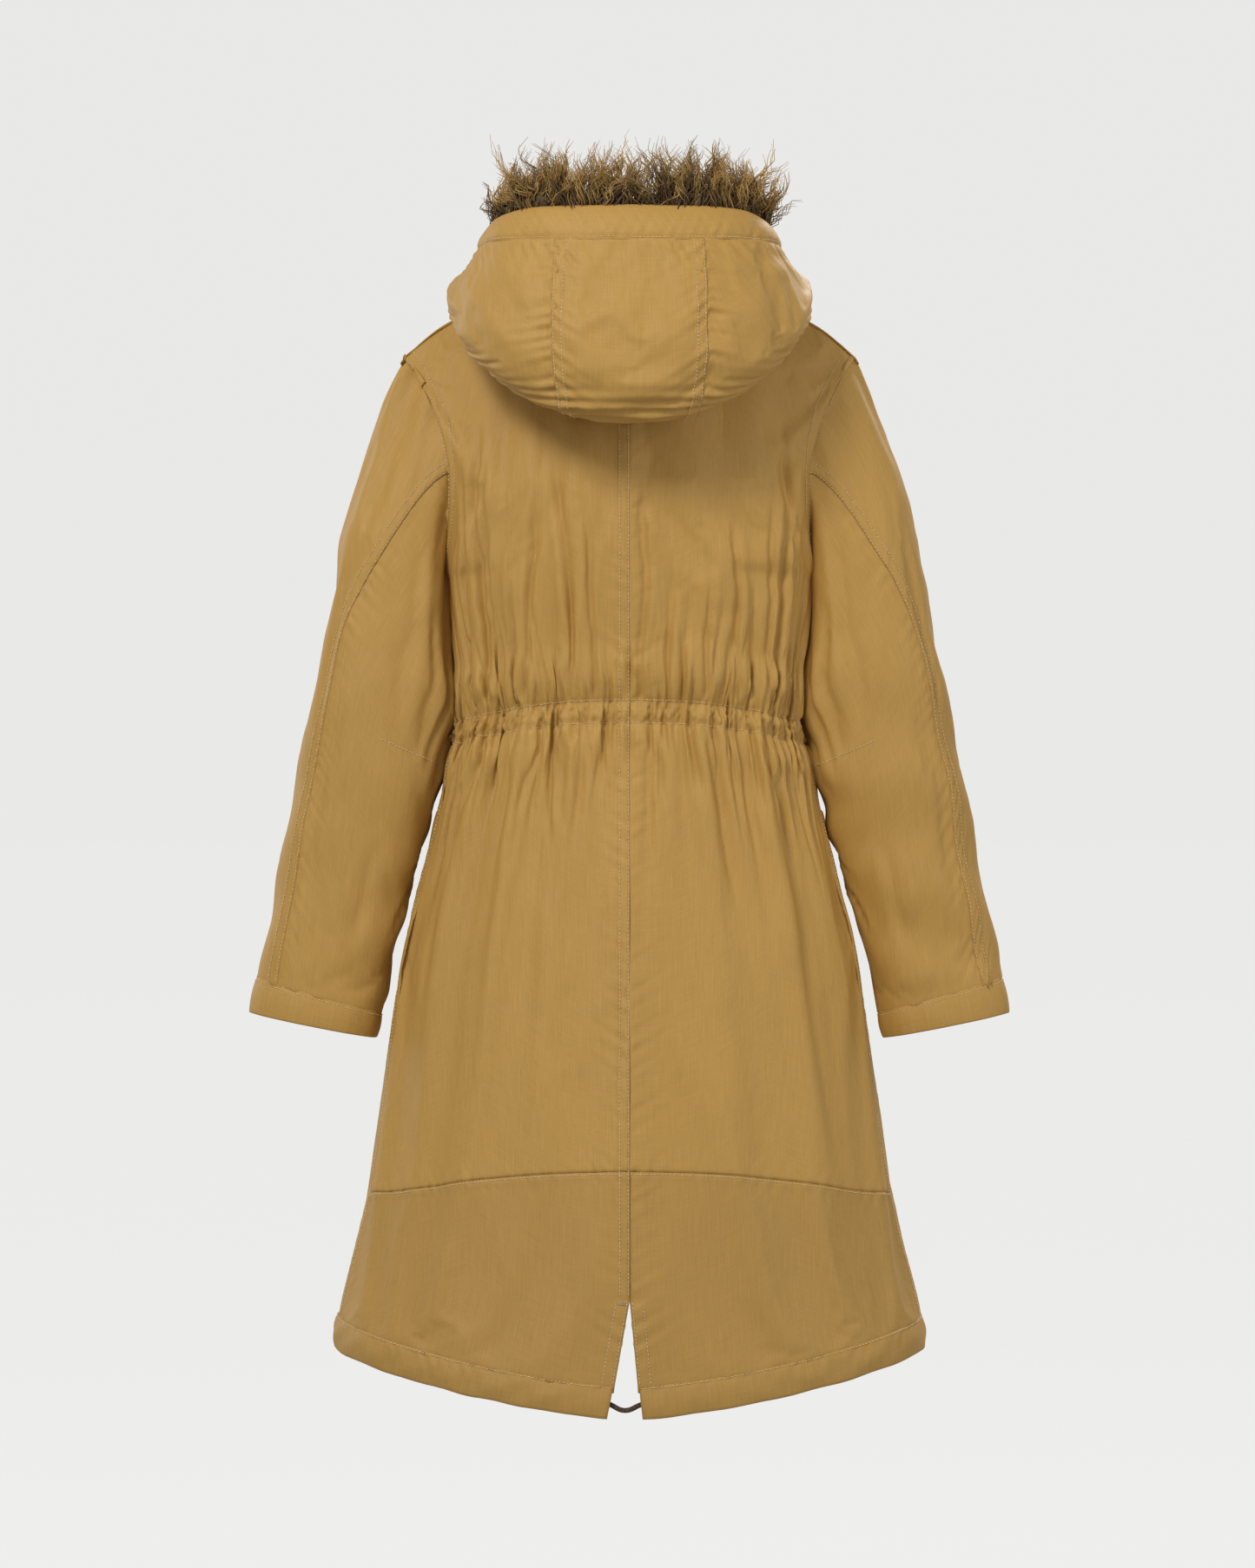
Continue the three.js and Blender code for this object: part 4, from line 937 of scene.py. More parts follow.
# Long creases of the back, as (distance from the centre, height) pairs with a width and a depth
BACK_CREASES = {
    "left": (
        (0.0030, 0.0062, ((0.140, -0.105), (0.142, -0.219), (0.133, -0.300), (0.129, -0.372))),
        (0.0022, 0.0040, ((0.132, -0.120), (0.134, -0.230), (0.124, -0.330), (0.118, -0.372))),
        (0.0022, 0.0034, ((0.153, -0.150), (0.151, -0.260), (0.142, -0.378))),
        (0.0026, 0.0042, ((0.083, -0.170), (0.091, -0.260), (0.095, -0.372))),
        (0.0026, 0.0046, ((0.073, -0.135), (0.062, -0.210), (0.054, -0.285), (0.054, -0.374))),
        (0.0022, 0.0030, ((0.110, -0.230), (0.108, -0.300), (0.103, -0.374))),
        (0.0022, 0.0034, ((0.042, -0.165), (0.037, -0.250), (0.031, -0.366))),
        (0.0030, 0.0030, ((0.026, -0.395), (0.030, -0.450), (0.027, -0.520))),
        (0.0030, 0.0034, ((0.085, -0.415), (0.100, -0.470), (0.121, -0.560))),
        (0.0034, 0.0034, ((0.128, -0.410), (0.150, -0.460), (0.178, -0.540))),
        (0.0030, 0.0030, ((0.058, -0.405), (0.064, -0.480), (0.078, -0.600))),
    ),
    "right": (
        (0.0030, 0.0058, ((0.143, -0.110), (0.146, -0.215), (0.137, -0.300), (0.131, -0.374))),
        (0.0022, 0.0040, ((0.133, -0.160), (0.131, -0.260), (0.124, -0.374))),
        (0.0024, 0.0036, ((0.154, -0.165), (0.152, -0.260), (0.144, -0.376))),
        (0.0030, 0.0038, (
            (0.021, -0.140), (0.010, -0.204), (0.016, -0.250), (0.011, -0.310), (0.008, -0.372),
        )),
        (0.0024, 0.0034, ((0.076, -0.230), (0.072, -0.300), (0.068, -0.372))),
        (0.0024, 0.0036, ((0.098, -0.180), (0.100, -0.270), (0.097, -0.373))),
        (0.0022, 0.0030, ((0.045, -0.290), (0.050, -0.330), (0.047, -0.371))),
        (0.0026, 0.0030, ((0.116, -0.250), (0.114, -0.310), (0.112, -0.374))),
        (0.0030, 0.0032, ((0.020, -0.395), (0.017, -0.460), (0.020, -0.560))),
        (0.0030, 0.0034, ((0.070, -0.410), (0.084, -0.470), (0.105, -0.580))),
        (0.0034, 0.0036, ((0.120, -0.415), (0.141, -0.465), (0.170, -0.560))),
    ),
}


def drawn_creases(patch, creases):
    """Creases along given paths down a body panel, strongest near the waist."""
    total = np.zeros(patch.u.shape)
    x, z = np.abs(patch.plain[..., 0]), patch.plain[..., 2]
    for width, depth, path in creases:
        heights = np.array([place[1] for place in path])
        sideways = np.array([place[0] for place in path])
        below = path[0][1] < WAIST_Z
        centre = np.interp(-z, -heights, sideways)
        centre = centre + 0.0009 * np.sin(z * 70 + 900 * width) + 0.0003 * np.sin(z * 210 + depth * 4000)
        top, bottom = heights[0], heights[-1]
        fade_top = smooth((top + 0.004 - z) / (0.012 if below else 0.075))
        fade_bottom = smooth((z - bottom + (0 if below else 0.004)) / (0.070 if below else 0.010))
        spread = width * (1 + (1.2 * smooth((top - z) / 0.15) if below else 0.7 * smooth((z + 0.372) / 0.20)))
        slope = np.gradient(patch.arc_u, axis=1) / np.maximum(np.abs(np.gradient(x, axis=1)), 1e-6)
        distance = (x - centre) * np.clip(slope, 1, 3)
        total += crease(distance, spread, depth) * fade_top * fade_bottom
    return total


def body_fullness(level):
    """How much wider than the worn body the cloth is cut, at each level."""
    fullness = 0.020 + BLOUSE_GATHER * smooth((level - 0.5) / 1.2) * smooth((2.25 - level) / 0.2)
    return fullness + SKIRT_GATHER * smooth((level - 1.9) / 0.3) * smooth((3.6 - level) / 1.5)


def body_cut(points, level):
    """The same cloth before it is gathered."""
    fullness = body_fullness(level)
    wide = points * np.stack([1 + fullness, 1 + fullness, np.ones_like(fullness)], -1)
    wide[..., 2] *= 1.006
    return wide


def body_drape(face, outward, seed):
    """How the panel's cloth falls: a displacement on a coarse grid, with that grid's us and vs."""
    us, vs = np.linspace(0, 1, 44), spaced(BODY_MARKS, BODY_LENGTHS, 0.0062)
    patch = Patch(face, us, vs, outward)
    patch.lift(body_folds(patch, seed))
    folded = patch.points - patch.plain
    pins = np.zeros(patch.u.shape)
    pins[np.abs(patch.v - 2) < 0.045] = 0.85
    pins[:, [0, -1]] = pins[[0, -1]] = 1
    rest = body_cut(patch.points, patch.v)
    moved = simulate(patch.points, rest, pins, frames=26, bending=0.9)
    return us, vs, folded + moved


def gathers(patch, waist_row, seed):
    """Small puckers drawn up by the waist elastic, pinched at the tunnel's two lines of stitching."""
    down = patch.arc_v - patch.arc_v[waist_row]
    place = patch.u * 0.19
    drift = 0.9 * waves(place, seed, 0.018, 0.060) + 0.25 * np.sin(down * 90 + seed)
    fold = 1 - 2 * np.abs(np.sin(math.pi * (place / 0.0125 + drift)))
    reach = 0.020 + 0.026 * (0.5 + 0.5 * waves(place, seed + 1, 0.010, 0.040))
    strength = np.exp(-np.maximum(0, np.abs(down) - TUNNEL_HALF) / np.maximum(reach, 0.006))
    height = 0.0026 * fold * strength * (0.7 + 0.3 * waves(place, seed + 2, 0.02, 0.05))
    height += 0.0022 * bump(down / TUNNEL_HALF) - 0.0016 * bump((np.abs(down) - TUNNEL_HALF) / 0.0035)
    inside = smooth((TUNNEL_HALF + 0.003 - np.abs(down)) / 0.004)
    height += 0.0014 * inside * field(place, down + 0.25 * place, seed + 3, 0.006, 0.007)
    height += 0.0050 * bump((down + 0.034) / 0.034) + 0.0035 * bump((down - 0.030) / 0.034)
    return height * smooth(patch.arc_u / 0.006)


def pucker(distance, along, seed, width, depth):
    """Small creases that run away from a line of stitching."""
    crease = waves(along + distance * 0.5, seed, 0.008, 0.022)
    return depth * crease * np.exp(-np.abs(distance) / width)


def felled(distance, width=FELL, height=0.0009):
    """A flat folded band between a seam and its second line of stitching."""
    edge = 0.0012
    band = smooth((width + edge - distance) / edge) * smooth((distance + edge) / edge)
    dents = bump((distance - 0.0015) / 0.0015) + bump((distance - width + 0.0015) / 0.0015)
    return height * band - 0.0003 * dents


def body_panel_pieces():
    for name, side in SIDES:
        for back in (True, False):
            seed = 11 * (2 + side) + (3 if back else 40)
            face = panel_face(back, side)
            outward = side if back else -side
            drape = body_drape(face, outward, seed)
            make_body_panels(name, side, back, face, outward, drape, seed)


def make_body_panels(name, side, back, face, outward, drape, seed):
    us = np.concatenate([np.linspace(0, 0.05, 12, endpoint=False), np.linspace(0.05, 1, 200)])
    whole = Patch(face, us, spaced(BODY_MARKS, BODY_LENGTHS, 0.0032), outward)
    drape_us, drape_vs, moved = drape
    whole.points = whole.points + resample(moved, drape_us, drape_vs, us, whole.vs)
    waist_row = int(np.argmin(np.abs(whole.vs - 2)))
    seam_row = int(np.argmin(np.abs(whole.vs - 3)))
    height = gathers(whole, waist_row, seed + 5) + pleats(whole, waist_row, seed + 15, back)
    side_distance = whole.arc_u[:, -1:] - whole.arc_u
    height += pucker(side_distance, whole.arc_v, seed + 6, 0.012, 0.0003) * smooth(side_distance / 0.004)
    height += 0.0005 * field(whole.arc_u, whole.arc_v, seed + 9, 0.07, 0.16)
    if back:
        height += centre_seam(whole, side, seed) + drawn_creases(whole, BACK_CREASES[name])
        under = whole.arc_v - whole.arc_v[seam_row]
        height += -0.0005 * bump(under / 0.002) + 0.0004 * bump((under - 0.004) / 0.004)
        height += pucker(under, whole.arc_u, seed + 8, 0.010, 0.0005)
    band = smooth((0.017 - np.abs(whole.arc_v - whole.arc_v[waist_row])) / 0.005)
    height = np.maximum(height, mix(SHELL_CLEARANCE, ELASTIC_CLEARANCE, band))
    whole.lift(height)
    if back:
        upper, lower = cut_patch(whole, 0, seam_row + 1), cut_patch(whole, seam_row, None)
        if side < 0:
            upper = tucked(upper, "left")
        lower = tucked(lower, "top", "bottom", reach=0.006)
        cloth_piece(
            f"shell_back_{name}", upper, shell_cloth, "shell", [f"back_panel_{name}"], held="gathered",
        )
        cloth_piece(f"shell_hem_{name}", lower, hem_cloth_painted_shade, "hem", [f"back_hem_panel_{name}"], held="hung")
        sew_back(name, side, whole, waist_row, seam_row)
    else:
        tucks = tucked(tucked(whole, "top", reach=0.0025, depth=0.0010), "right", "bottom", reach=0.006)
        cloth_piece(
            f"shell_front_{name}", tucks, shell_cloth, "shell", [f"front_panel_{name}"], held="gathered",
        )
        sew_front(name, whole, waist_row)


def cut_patch(patch, start, stop):
    """The rows of a patch from start to stop, as a patch of its own."""
    part = object.__new__(Patch)
    part.us, part.vs, part.outward = patch.us, patch.vs[start:stop], patch.outward
    for key in ("u", "v", "points", "plain", "arc_u", "arc_v"):
        setattr(part, key, getattr(patch, key)[start:stop])
    return part


def vent_share(patch):
    """0 above the vent and 1 well below its top."""
    return smooth((VENT_TOP_Z - patch.plain[..., 2]) / 0.004)


def centre_seam(patch, side, seed):
    """The centre back's felled seam lies on the left panel; below the vent's top each edge is turned in."""
    closed = 1 - vent_share(patch)
    height = pucker(patch.arc_u, patch.arc_v, seed + 7, 0.016, 0.0013) * smooth(patch.arc_u / 0.003)
    height *= 0.6 + 0.4 * waves(patch.arc_v, seed + 12, 0.08, 0.25)
    if side > 0:
        height += closed * felled(patch.arc_u)
    height += (1 - closed) * 0.0008 * smooth((0.013 - patch.arc_u) / 0.002)
    return height


def sew_back(name, side, patch, waist_row, seam_row):
    sewing = Stitching(f"thread_back_{name}")
    vent_row = int(np.argmax(patch.plain[:, 0, 2] < VENT_TOP_Z))
    if side > 0:
        for distance in (0.0013, FELL - 0.0010):
            sewing.line(patch, *patch.column_line(distance, stop=vent_row))
    for distance in (0.0022, 0.0120):
        sewing.line(patch, *patch.column_line(distance, start=vent_row))
    for distance in (-TUNNEL_HALF, TUNNEL_HALF):
        sewing.line(patch, *patch.row_line(waist_row, distance))
    sewing.line(patch, *patch.row_line(seam_row, 0.0020))
    armpit_row = int(np.argmax(patch.plain[:, -1, 2] < ARMPIT_Z))
    for distance in (0.0020, 0.0110):
        sewing.line(patch, *patch.column_line(distance, stop=armpit_row, far=True))
    sewing.line(patch, *patch.column_line(0.0018, start=armpit_row, far=True))
    sewing.finish()
    if side > 0:
        tack = Stitching("thread_vent_tack", pitch=0.0012, radius=0.0005)
        for drop in (0, 1, 2):
            row = np.full(14, vent_row + drop * 0.35)
            line = np.interp(np.linspace(0, 0.0115, 14), patch.arc_u[vent_row], np.arange(len(patch.us)))
            tack.line(patch, row, line)
        tack.finish()


def sew_front(name, patch, waist_row):
    sewing = Stitching(f"thread_front_{name}")
    for distance in (-TUNNEL_HALF, TUNNEL_HALF):
        sewing.line(patch, *patch.row_line(waist_row, distance, start=24))
    armpit_row = int(np.argmax(patch.plain[:, -1, 2] < ARMPIT_Z))
    for distance in (0.0020, 0.0110):
        sewing.line(patch, *patch.column_line(distance, stop=armpit_row, far=True))
    sewing.line(patch, *patch.column_line(0.0060))
    sewing.finish()


def hem_band_pieces():
    for name, side in SIDES:
        angles = hem_angles(side, 420)
        wall, turn_share = HEM_BAND - 0.0005, 0.16

        def face(u, v, side=side, angles=angles):
            angle = np.interp(u, np.linspace(0, 1, len(angles)), angles)
            half = (1 - turn_share) / 2
            down = np.clip(v / half, 0, 1)
            up = np.clip((v - 1 + half) / half, 0, 1)
            bottom = np.clip((v - half) / turn_share, 0, 1) * math.pi
            height = wall * (1 - down) + wall * up - 0.0005 * np.sin(bottom)
            slope = np.clip(1 - height / (VENT_TOP_Z - HEM_BACK_Z), 0, 1) ** (1 / ROUNDNESS)
            angle = angle - angles[0] * (1 - slope) * (1 - smooth(u / 0.06))
            depth = HEM_DEPTH * (1 - np.cos(bottom)) / 2 - 0.0022 * np.sin(math.pi * down) * (up == 0)
            return hem_point(angle, height, depth, side)

        patch = Patch(face, np.linspace(0, 1, 300), np.linspace(0, 1, 30), side)
        crease = pucker(patch.arc_v, patch.arc_u, 61 + side, 0.010, 0.0009)
        height = crease - 0.0007 * bump((patch.arc_v - 0.0015) / 0.002)
        height += 0.0006 * field(patch.arc_u, patch.arc_v, 64 + side, 0.06, 0.03)
        patch.lift(height * smooth(patch.arc_v / 0.001))
        cloth_piece(f"hem_band_{name}", patch, hem_cloth_painted_shade, "hem", [f"hem_tunnel_{name}"])
        sewing = Stitching(f"thread_hem_{name}")
        sewing.line(patch, *patch.row_line(0, 0.0018))
        sewing.finish("hem")


# ---------------------------------------------------------------- sleeves
def sleeve_folds(patch, seed):
    """Broad soft folds, with short creases inside the elbow."""
    turn, along = patch.u, patch.v
    around = turn * 0.055
    down = along * 0.62
    inner = bump((turn - math.pi) / 1.5)
    elbow = bump((along - 0.50) / 0.30)
    height = 0.0022 * field(around + down * 0.3, down, seed, 0.10, 0.16)
    height += 0.0022 * inner * elbow * field(around, down - around * 0.5, seed + 1, 0.09, 0.07)
    height += 0.0022 * smooth((0.35 - along) / 0.3) * field(around, down, seed + 2, 0.035, 0.22)
    height += sleeve_creases(around, down)
    front = np.minimum(np.abs(turn - FRONT_SEAM_TURN), np.abs(turn - FRONT_SEAM_TURN + 2 * math.pi))
    near_body = 0.0050 * bump((turn - math.pi) / 1.1) * bump((along - 0.16) / 0.20)
    height = height * smooth(front / 0.35) + near_body
    return height * smooth(along / 0.035) * smooth((CUFF_START - along) / 0.05)


# Creases of the sleeve: width, depth and a path of (distance round, distance down) pairs
SLEEVE_CREASES = (
    (0.0060, 0.0034, ((0.098, 0.060), (0.100, 0.150), (0.094, 0.270))),
    (0.0050, 0.0032, ((0.120, 0.090), (0.124, 0.180), (0.118, 0.290))),
    (0.0034, 0.0034, ((0.148, 0.100), (0.141, 0.170), (0.128, 0.300))),
    (0.0036, 0.0040, ((0.170, 0.130), (0.158, 0.220), (0.143, 0.315))),
    (0.0030, 0.0030, ((0.184, 0.200), (0.172, 0.260), (0.160, 0.320))),
    (0.0034, 0.0032, ((0.196, 0.270), (0.176, 0.310), (0.158, 0.335))),
    (0.0034, 0.0036, ((0.198, 0.345), (0.172, 0.372), (0.140, 0.420))),
    (0.0036, 0.0030, ((0.190, 0.380), (0.160, 0.430), (0.138, 0.500))),
    (0.0055, 0.0026, ((0.110, 0.380), (0.104, 0.450), (0.106, 0.540))),
    (0.0060, 0.0022, ((0.040, 0.150), (0.036, 0.260), (0.040, 0.360))),
    (0.0060, 0.0022, ((0.062, 0.280), (0.056, 0.380), (0.058, 0.500))),
)


def sleeve_creases(around, down):
    total = np.zeros(around.shape)
    for width, depth, path in SLEEVE_CREASES:
        sideways, run = np.array(path).T
        centre = np.interp(down, run, sideways) + 0.0012 * np.sin(down * 60 + width * 900)
        fade = smooth((down - run[0]) / 0.05) * smooth((run[-1] - down) / 0.05)
        total += crease(around - centre, width, depth) * fade
    return total


def sleeve_pieces():
    for name, side in SIDES:
        face = sleeve_face(side)
        turns = {
            "upper": (lambda along: 0 * along + FRONT_SEAM_TURN - 2 * math.pi, back_seam_turn),
            "under": (back_seam_turn, lambda along: 0 * along + FRONT_SEAM_TURN),
        }
        blend = SLEEVE[name]
        sewing = Stitching(f"thread_sleeve_{name}", blend=blend)
        for word, ends in turns.items():
            seed = 80 + 5 * side
            coarse = Patch(face, np.linspace(0, 1, 34), np.linspace(0, CUFF_START, 96), -side, ends)
            coarse.lift(sleeve_folds(coarse, seed))
            moved = coarse.points - coarse.plain
            pins = np.zeros(coarse.u.shape)
            pins[:, [0, -1]] = pins[[0, -1]] = 1
            middle = coarse.points.mean(axis=1, keepdims=True)
            rest = middle + (coarse.points - middle) * 1.035
            rest[..., 2] *= 1.02
            moved = moved + simulate(coarse.points, rest, pins, frames=20, bending=1.6, reach=0.008)
            patch = Patch(face, np.linspace(0, 1, 100), np.linspace(0, CUFF_START, 190), -side, ends)
            patch.points = patch.points + resample(moved, coarse.us, coarse.vs, patch.us, patch.vs)
            far = patch.arc_u[:, -1:] - patch.arc_u
            at_back = patch.arc_u if word == "under" else far
            height = pucker(at_back, patch.arc_v, seed + 3, 0.012, 0.0008) * smooth(at_back / 0.002)
            if word == "upper":
                height += felled(at_back)
            inside = smooth(np.minimum(patch.arc_u, far) / 0.012)
            height += 0.0004 * field(patch.arc_u, patch.arc_v, seed + 4, 0.04, 0.05) * inside
            patch.lift(height)
            covered = tucked(patch, "top", reach=0.004, depth=0.0014)
            hidden = ("bottom", "left", "right") if word == "under" else ("bottom",)
            covered = tucked(covered, *hidden, reach=0.006)
            cloth_piece(
                f"shell_{word}_sleeve_{name}", covered, shell_cloth, "shell", [f"{word}_sleeve_{name}"],
                blend=blend, held="hung",
            )
            if word == "upper":
                for distance in (0.0012, FELL - 0.0002):
                    sewing.line(patch, *patch.column_line(distance, far=True))
            else:
                sew_dart(sewing, patch, side)
        add_cuff(name, side, face, blend, sewing)
        sewing.finish()


def sew_dart(sewing, patch, side):
    """The elbow dart runs from the inner edge outwards and a little up."""
    inner, outer = (side * 0.172, -0.434), (side * 0.232, -0.408)
    steps = 26
    places = [
        patch.place(mix(inner[0], outer[0], t), mix(inner[1], outer[1], t))
        for t in np.linspace(0, 1, steps)
    ]
    rows, columns = np.array(places).T
    sewing.line(patch, rows, columns)


def add_cuff(name, side, face, blend, sewing):
    """A turned band: down its outer side, round the edge and up inside."""
    band_rows = 26

    def cuff(turn, v):
        down = np.clip(v / 0.55, 0, 1)
        along = mix(CUFF_START, 1, down) - (1 - CUFF_START) * 0.9 * np.clip((v - 0.65) / 0.35, 0, 1)
        return face(turn, along)

    patch = Patch(cuff, np.linspace(0, 2 * math.pi, 170), np.linspace(0, 1, band_rows), -side)
    arc = np.linspace(0, 1, 170)[None] * 0.33
    outward = sleeve_normals(face, patch, side)
    inside = smooth((patch.v - 0.55) / 0.10)
    puff = 0.0016 * np.sin(math.pi * np.clip(patch.v / 0.6, 0, 1)) - 0.0005 * bump((patch.v - 0.04) / 0.05)
    ripple = waves(arc + 0 * patch.v, 140 + side, 0.0330, 0.0331, 1) * 0.0005
    shift = puff * (1 - inside) + ripple - 0.0040 * inside
    patch.points = patch.points + outward * shift[..., None]
    cloth_piece(f"cuff_band_{name}", patch, shell_cloth, "shell", [f"cuff_{name}"], blend=blend)
    sewing.line(patch, np.full(170, 1.6), np.arange(170))


def sleeve_normals(face, patch, side):
    """The plain sleeve's outward normals at a patch's turns, near the cuff."""
    e = 0.01
    along = np.full(patch.u.shape, 0.96)
    around = face(patch.u + e, along) - face(patch.u - e, along)
    down = face(patch.u, along + e) - face(patch.u, along - e)
    normal = np.cross(around, down) * -side
    return normal / np.linalg.norm(normal, axis=2, keepdims=True)


# ---------------------------------------------------------------- hood
def hood_folds(patch, seed):
    """The hood's weight folds it across the bottom of its pouch; elsewhere it is softly padded."""
    across, up = patch.u, patch.v
    wide = across * 0.22
    rise = up * 0.40
    bottom = bump((up - 0.47) / 0.22)
    sag = rise + 0.9 * wide**2 / 0.22
    swags = waves(sag, seed, 0.016, 0.032)
    height = 0.0028 * bottom * swags * (0.75 + 0.25 * waves(wide, seed + 1, 0.03, 0.08))
    height += 0.0022 * field(wide, rise, seed + 2, 0.09, 0.07)
    return height * smooth((up - HOOD_FOLD + 0.02) / 0.05) * smooth((RIM_START - up) / 0.08)


def hood_patch(us, vs, ends, seed, simulated=True):
    coarse = Patch(hood_face, np.linspace(0, 1, 34), np.linspace(vs[0], vs[-1], 48), -1, ends)
    border = smooth(np.minimum(coarse.arc_u, coarse.arc_u[:, -1:] - coarse.arc_u) / 0.03)
    coarse.lift(hood_folds(coarse, seed) + 0.005 * border * bump((coarse.v - 0.70) / 0.24))
    moved = coarse.points - coarse.plain
    if simulated:
        pins = np.zeros(coarse.u.shape)
        pins[:, [0, -1]] = pins[[0, -1]] = 1
        middle = coarse.points.mean(axis=(0, 1), keepdims=True)
        rest = middle + (coarse.points - middle) * 1.035
        moved = moved + simulate(coarse.points, rest, pins, frames=20, bending=1.4, reach=0.007)
    patch = Patch(hood_face, us, vs, -1, ends)
    patch.points = patch.points + resample(moved, coarse.us, coarse.vs, us, vs)
    return patch


def hood_pieces():
    edges = {
        "centre": (lambda up: -hood_seam(up), hood_seam, "hood_centre_panel", 90),
        "left": (hood_seam, lambda up: 0 * up + 1, "hood_side_left", 96),
        "right": (lambda up: 0 * up - 1, lambda up: -hood_seam(up), "hood_side_right", 96),
    }
    sewing = Stitching("thread_hood", body="hood")
    vs = np.linspace(HOOD_FOLD, RIM_START, 110)
    for seed, (word, (low, high, node, columns)) in enumerate(edges.items()):
        patch = hood_patch(np.linspace(0, 1, columns), vs, (low, high), 200)
        from_low, from_high = patch.arc_u, patch.arc_u[:, -1:] - patch.arc_u
        height = 0.0004 * field(patch.arc_u, patch.arc_v, 230 + seed, 0.04, 0.03)
        near = np.minimum(from_low, from_high)
        height += pucker(near, patch.arc_v, 240 + seed, 0.016, 0.0016) * smooth(near / 0.002)
        to_rim = patch.arc_v[-1:] - patch.arc_v
        height += pucker(to_rim, patch.arc_u, 250 + seed, 0.016, 0.0012) * smooth((to_rim - 0.001) / 0.006)
        if word == "centre":
            height += felled(from_low) + felled(from_high)
        patch.lift(height)
        edges = {"centre": ("bottom",), "left": ("bottom", "left"), "right": ("bottom", "right")}[word]
        cloth_piece(
            f"shell_hood_{word}", tucked(patch, *edges), shell_cloth, "shell", [node], body="hood",
            held="hung",
        )
        if word == "centre":
            for far in (False, True):
                for distance in (0.0013, FELL - 0.0006):
                    sewing.line(patch, *patch.column_line(distance, far=far))
    add_rim(sewing)
    sewing.finish()
    for name, side in SIDES:
        ends = (lambda up: 0 * up, lambda up, side=side: 0 * up + side)
        under = Patch(hood_face, np.linspace(0, 1, 90), np.linspace(0, HOOD_FOLD, 60), -side, ends)
        ripple = 0.0015 * field(under.arc_u, under.arc_v, 260 + side, 0.05, 0.05)
        under.lift(ripple * smooth(under.v / 0.1) * smooth((HOOD_FOLD - under.v) / 0.1))
        cloth_piece(
            f"shell_hood_under_{name}", tucked(under, "bottom"), shell_cloth, "shell", blend=HOOD_UNDER[name],
        )


def add_rim(sewing):
    """The casing round the hood's opening."""
    patch = Patch(hood_face, np.linspace(-1, 1, 240), np.linspace(RIM_START, 1, 22), -1)
    share = (patch.v - RIM_START) / (1 - RIM_START)
    height = 0.0030 * np.sin(math.pi * share) ** 0.7 - 0.0010 * bump((share - 0.07) / 0.09)
    height += pucker(share * 0.03, patch.arc_u[:1] + 0 * patch.v, 270, 0.012, 0.0010) * smooth(share / 0.2)
    height += 0.0009 * field(patch.arc_u[:1] + 0 * patch.v, share * 0.03, 271, 0.07, 0.06)
    patch.lift(height)
    cloth_piece("shell_hood_rim", patch, shell_cloth, "shell", ["hood_rim"], body="hood", thickness=0.0030)
    sewing.line(patch, np.full(240, 1.6), np.arange(240))


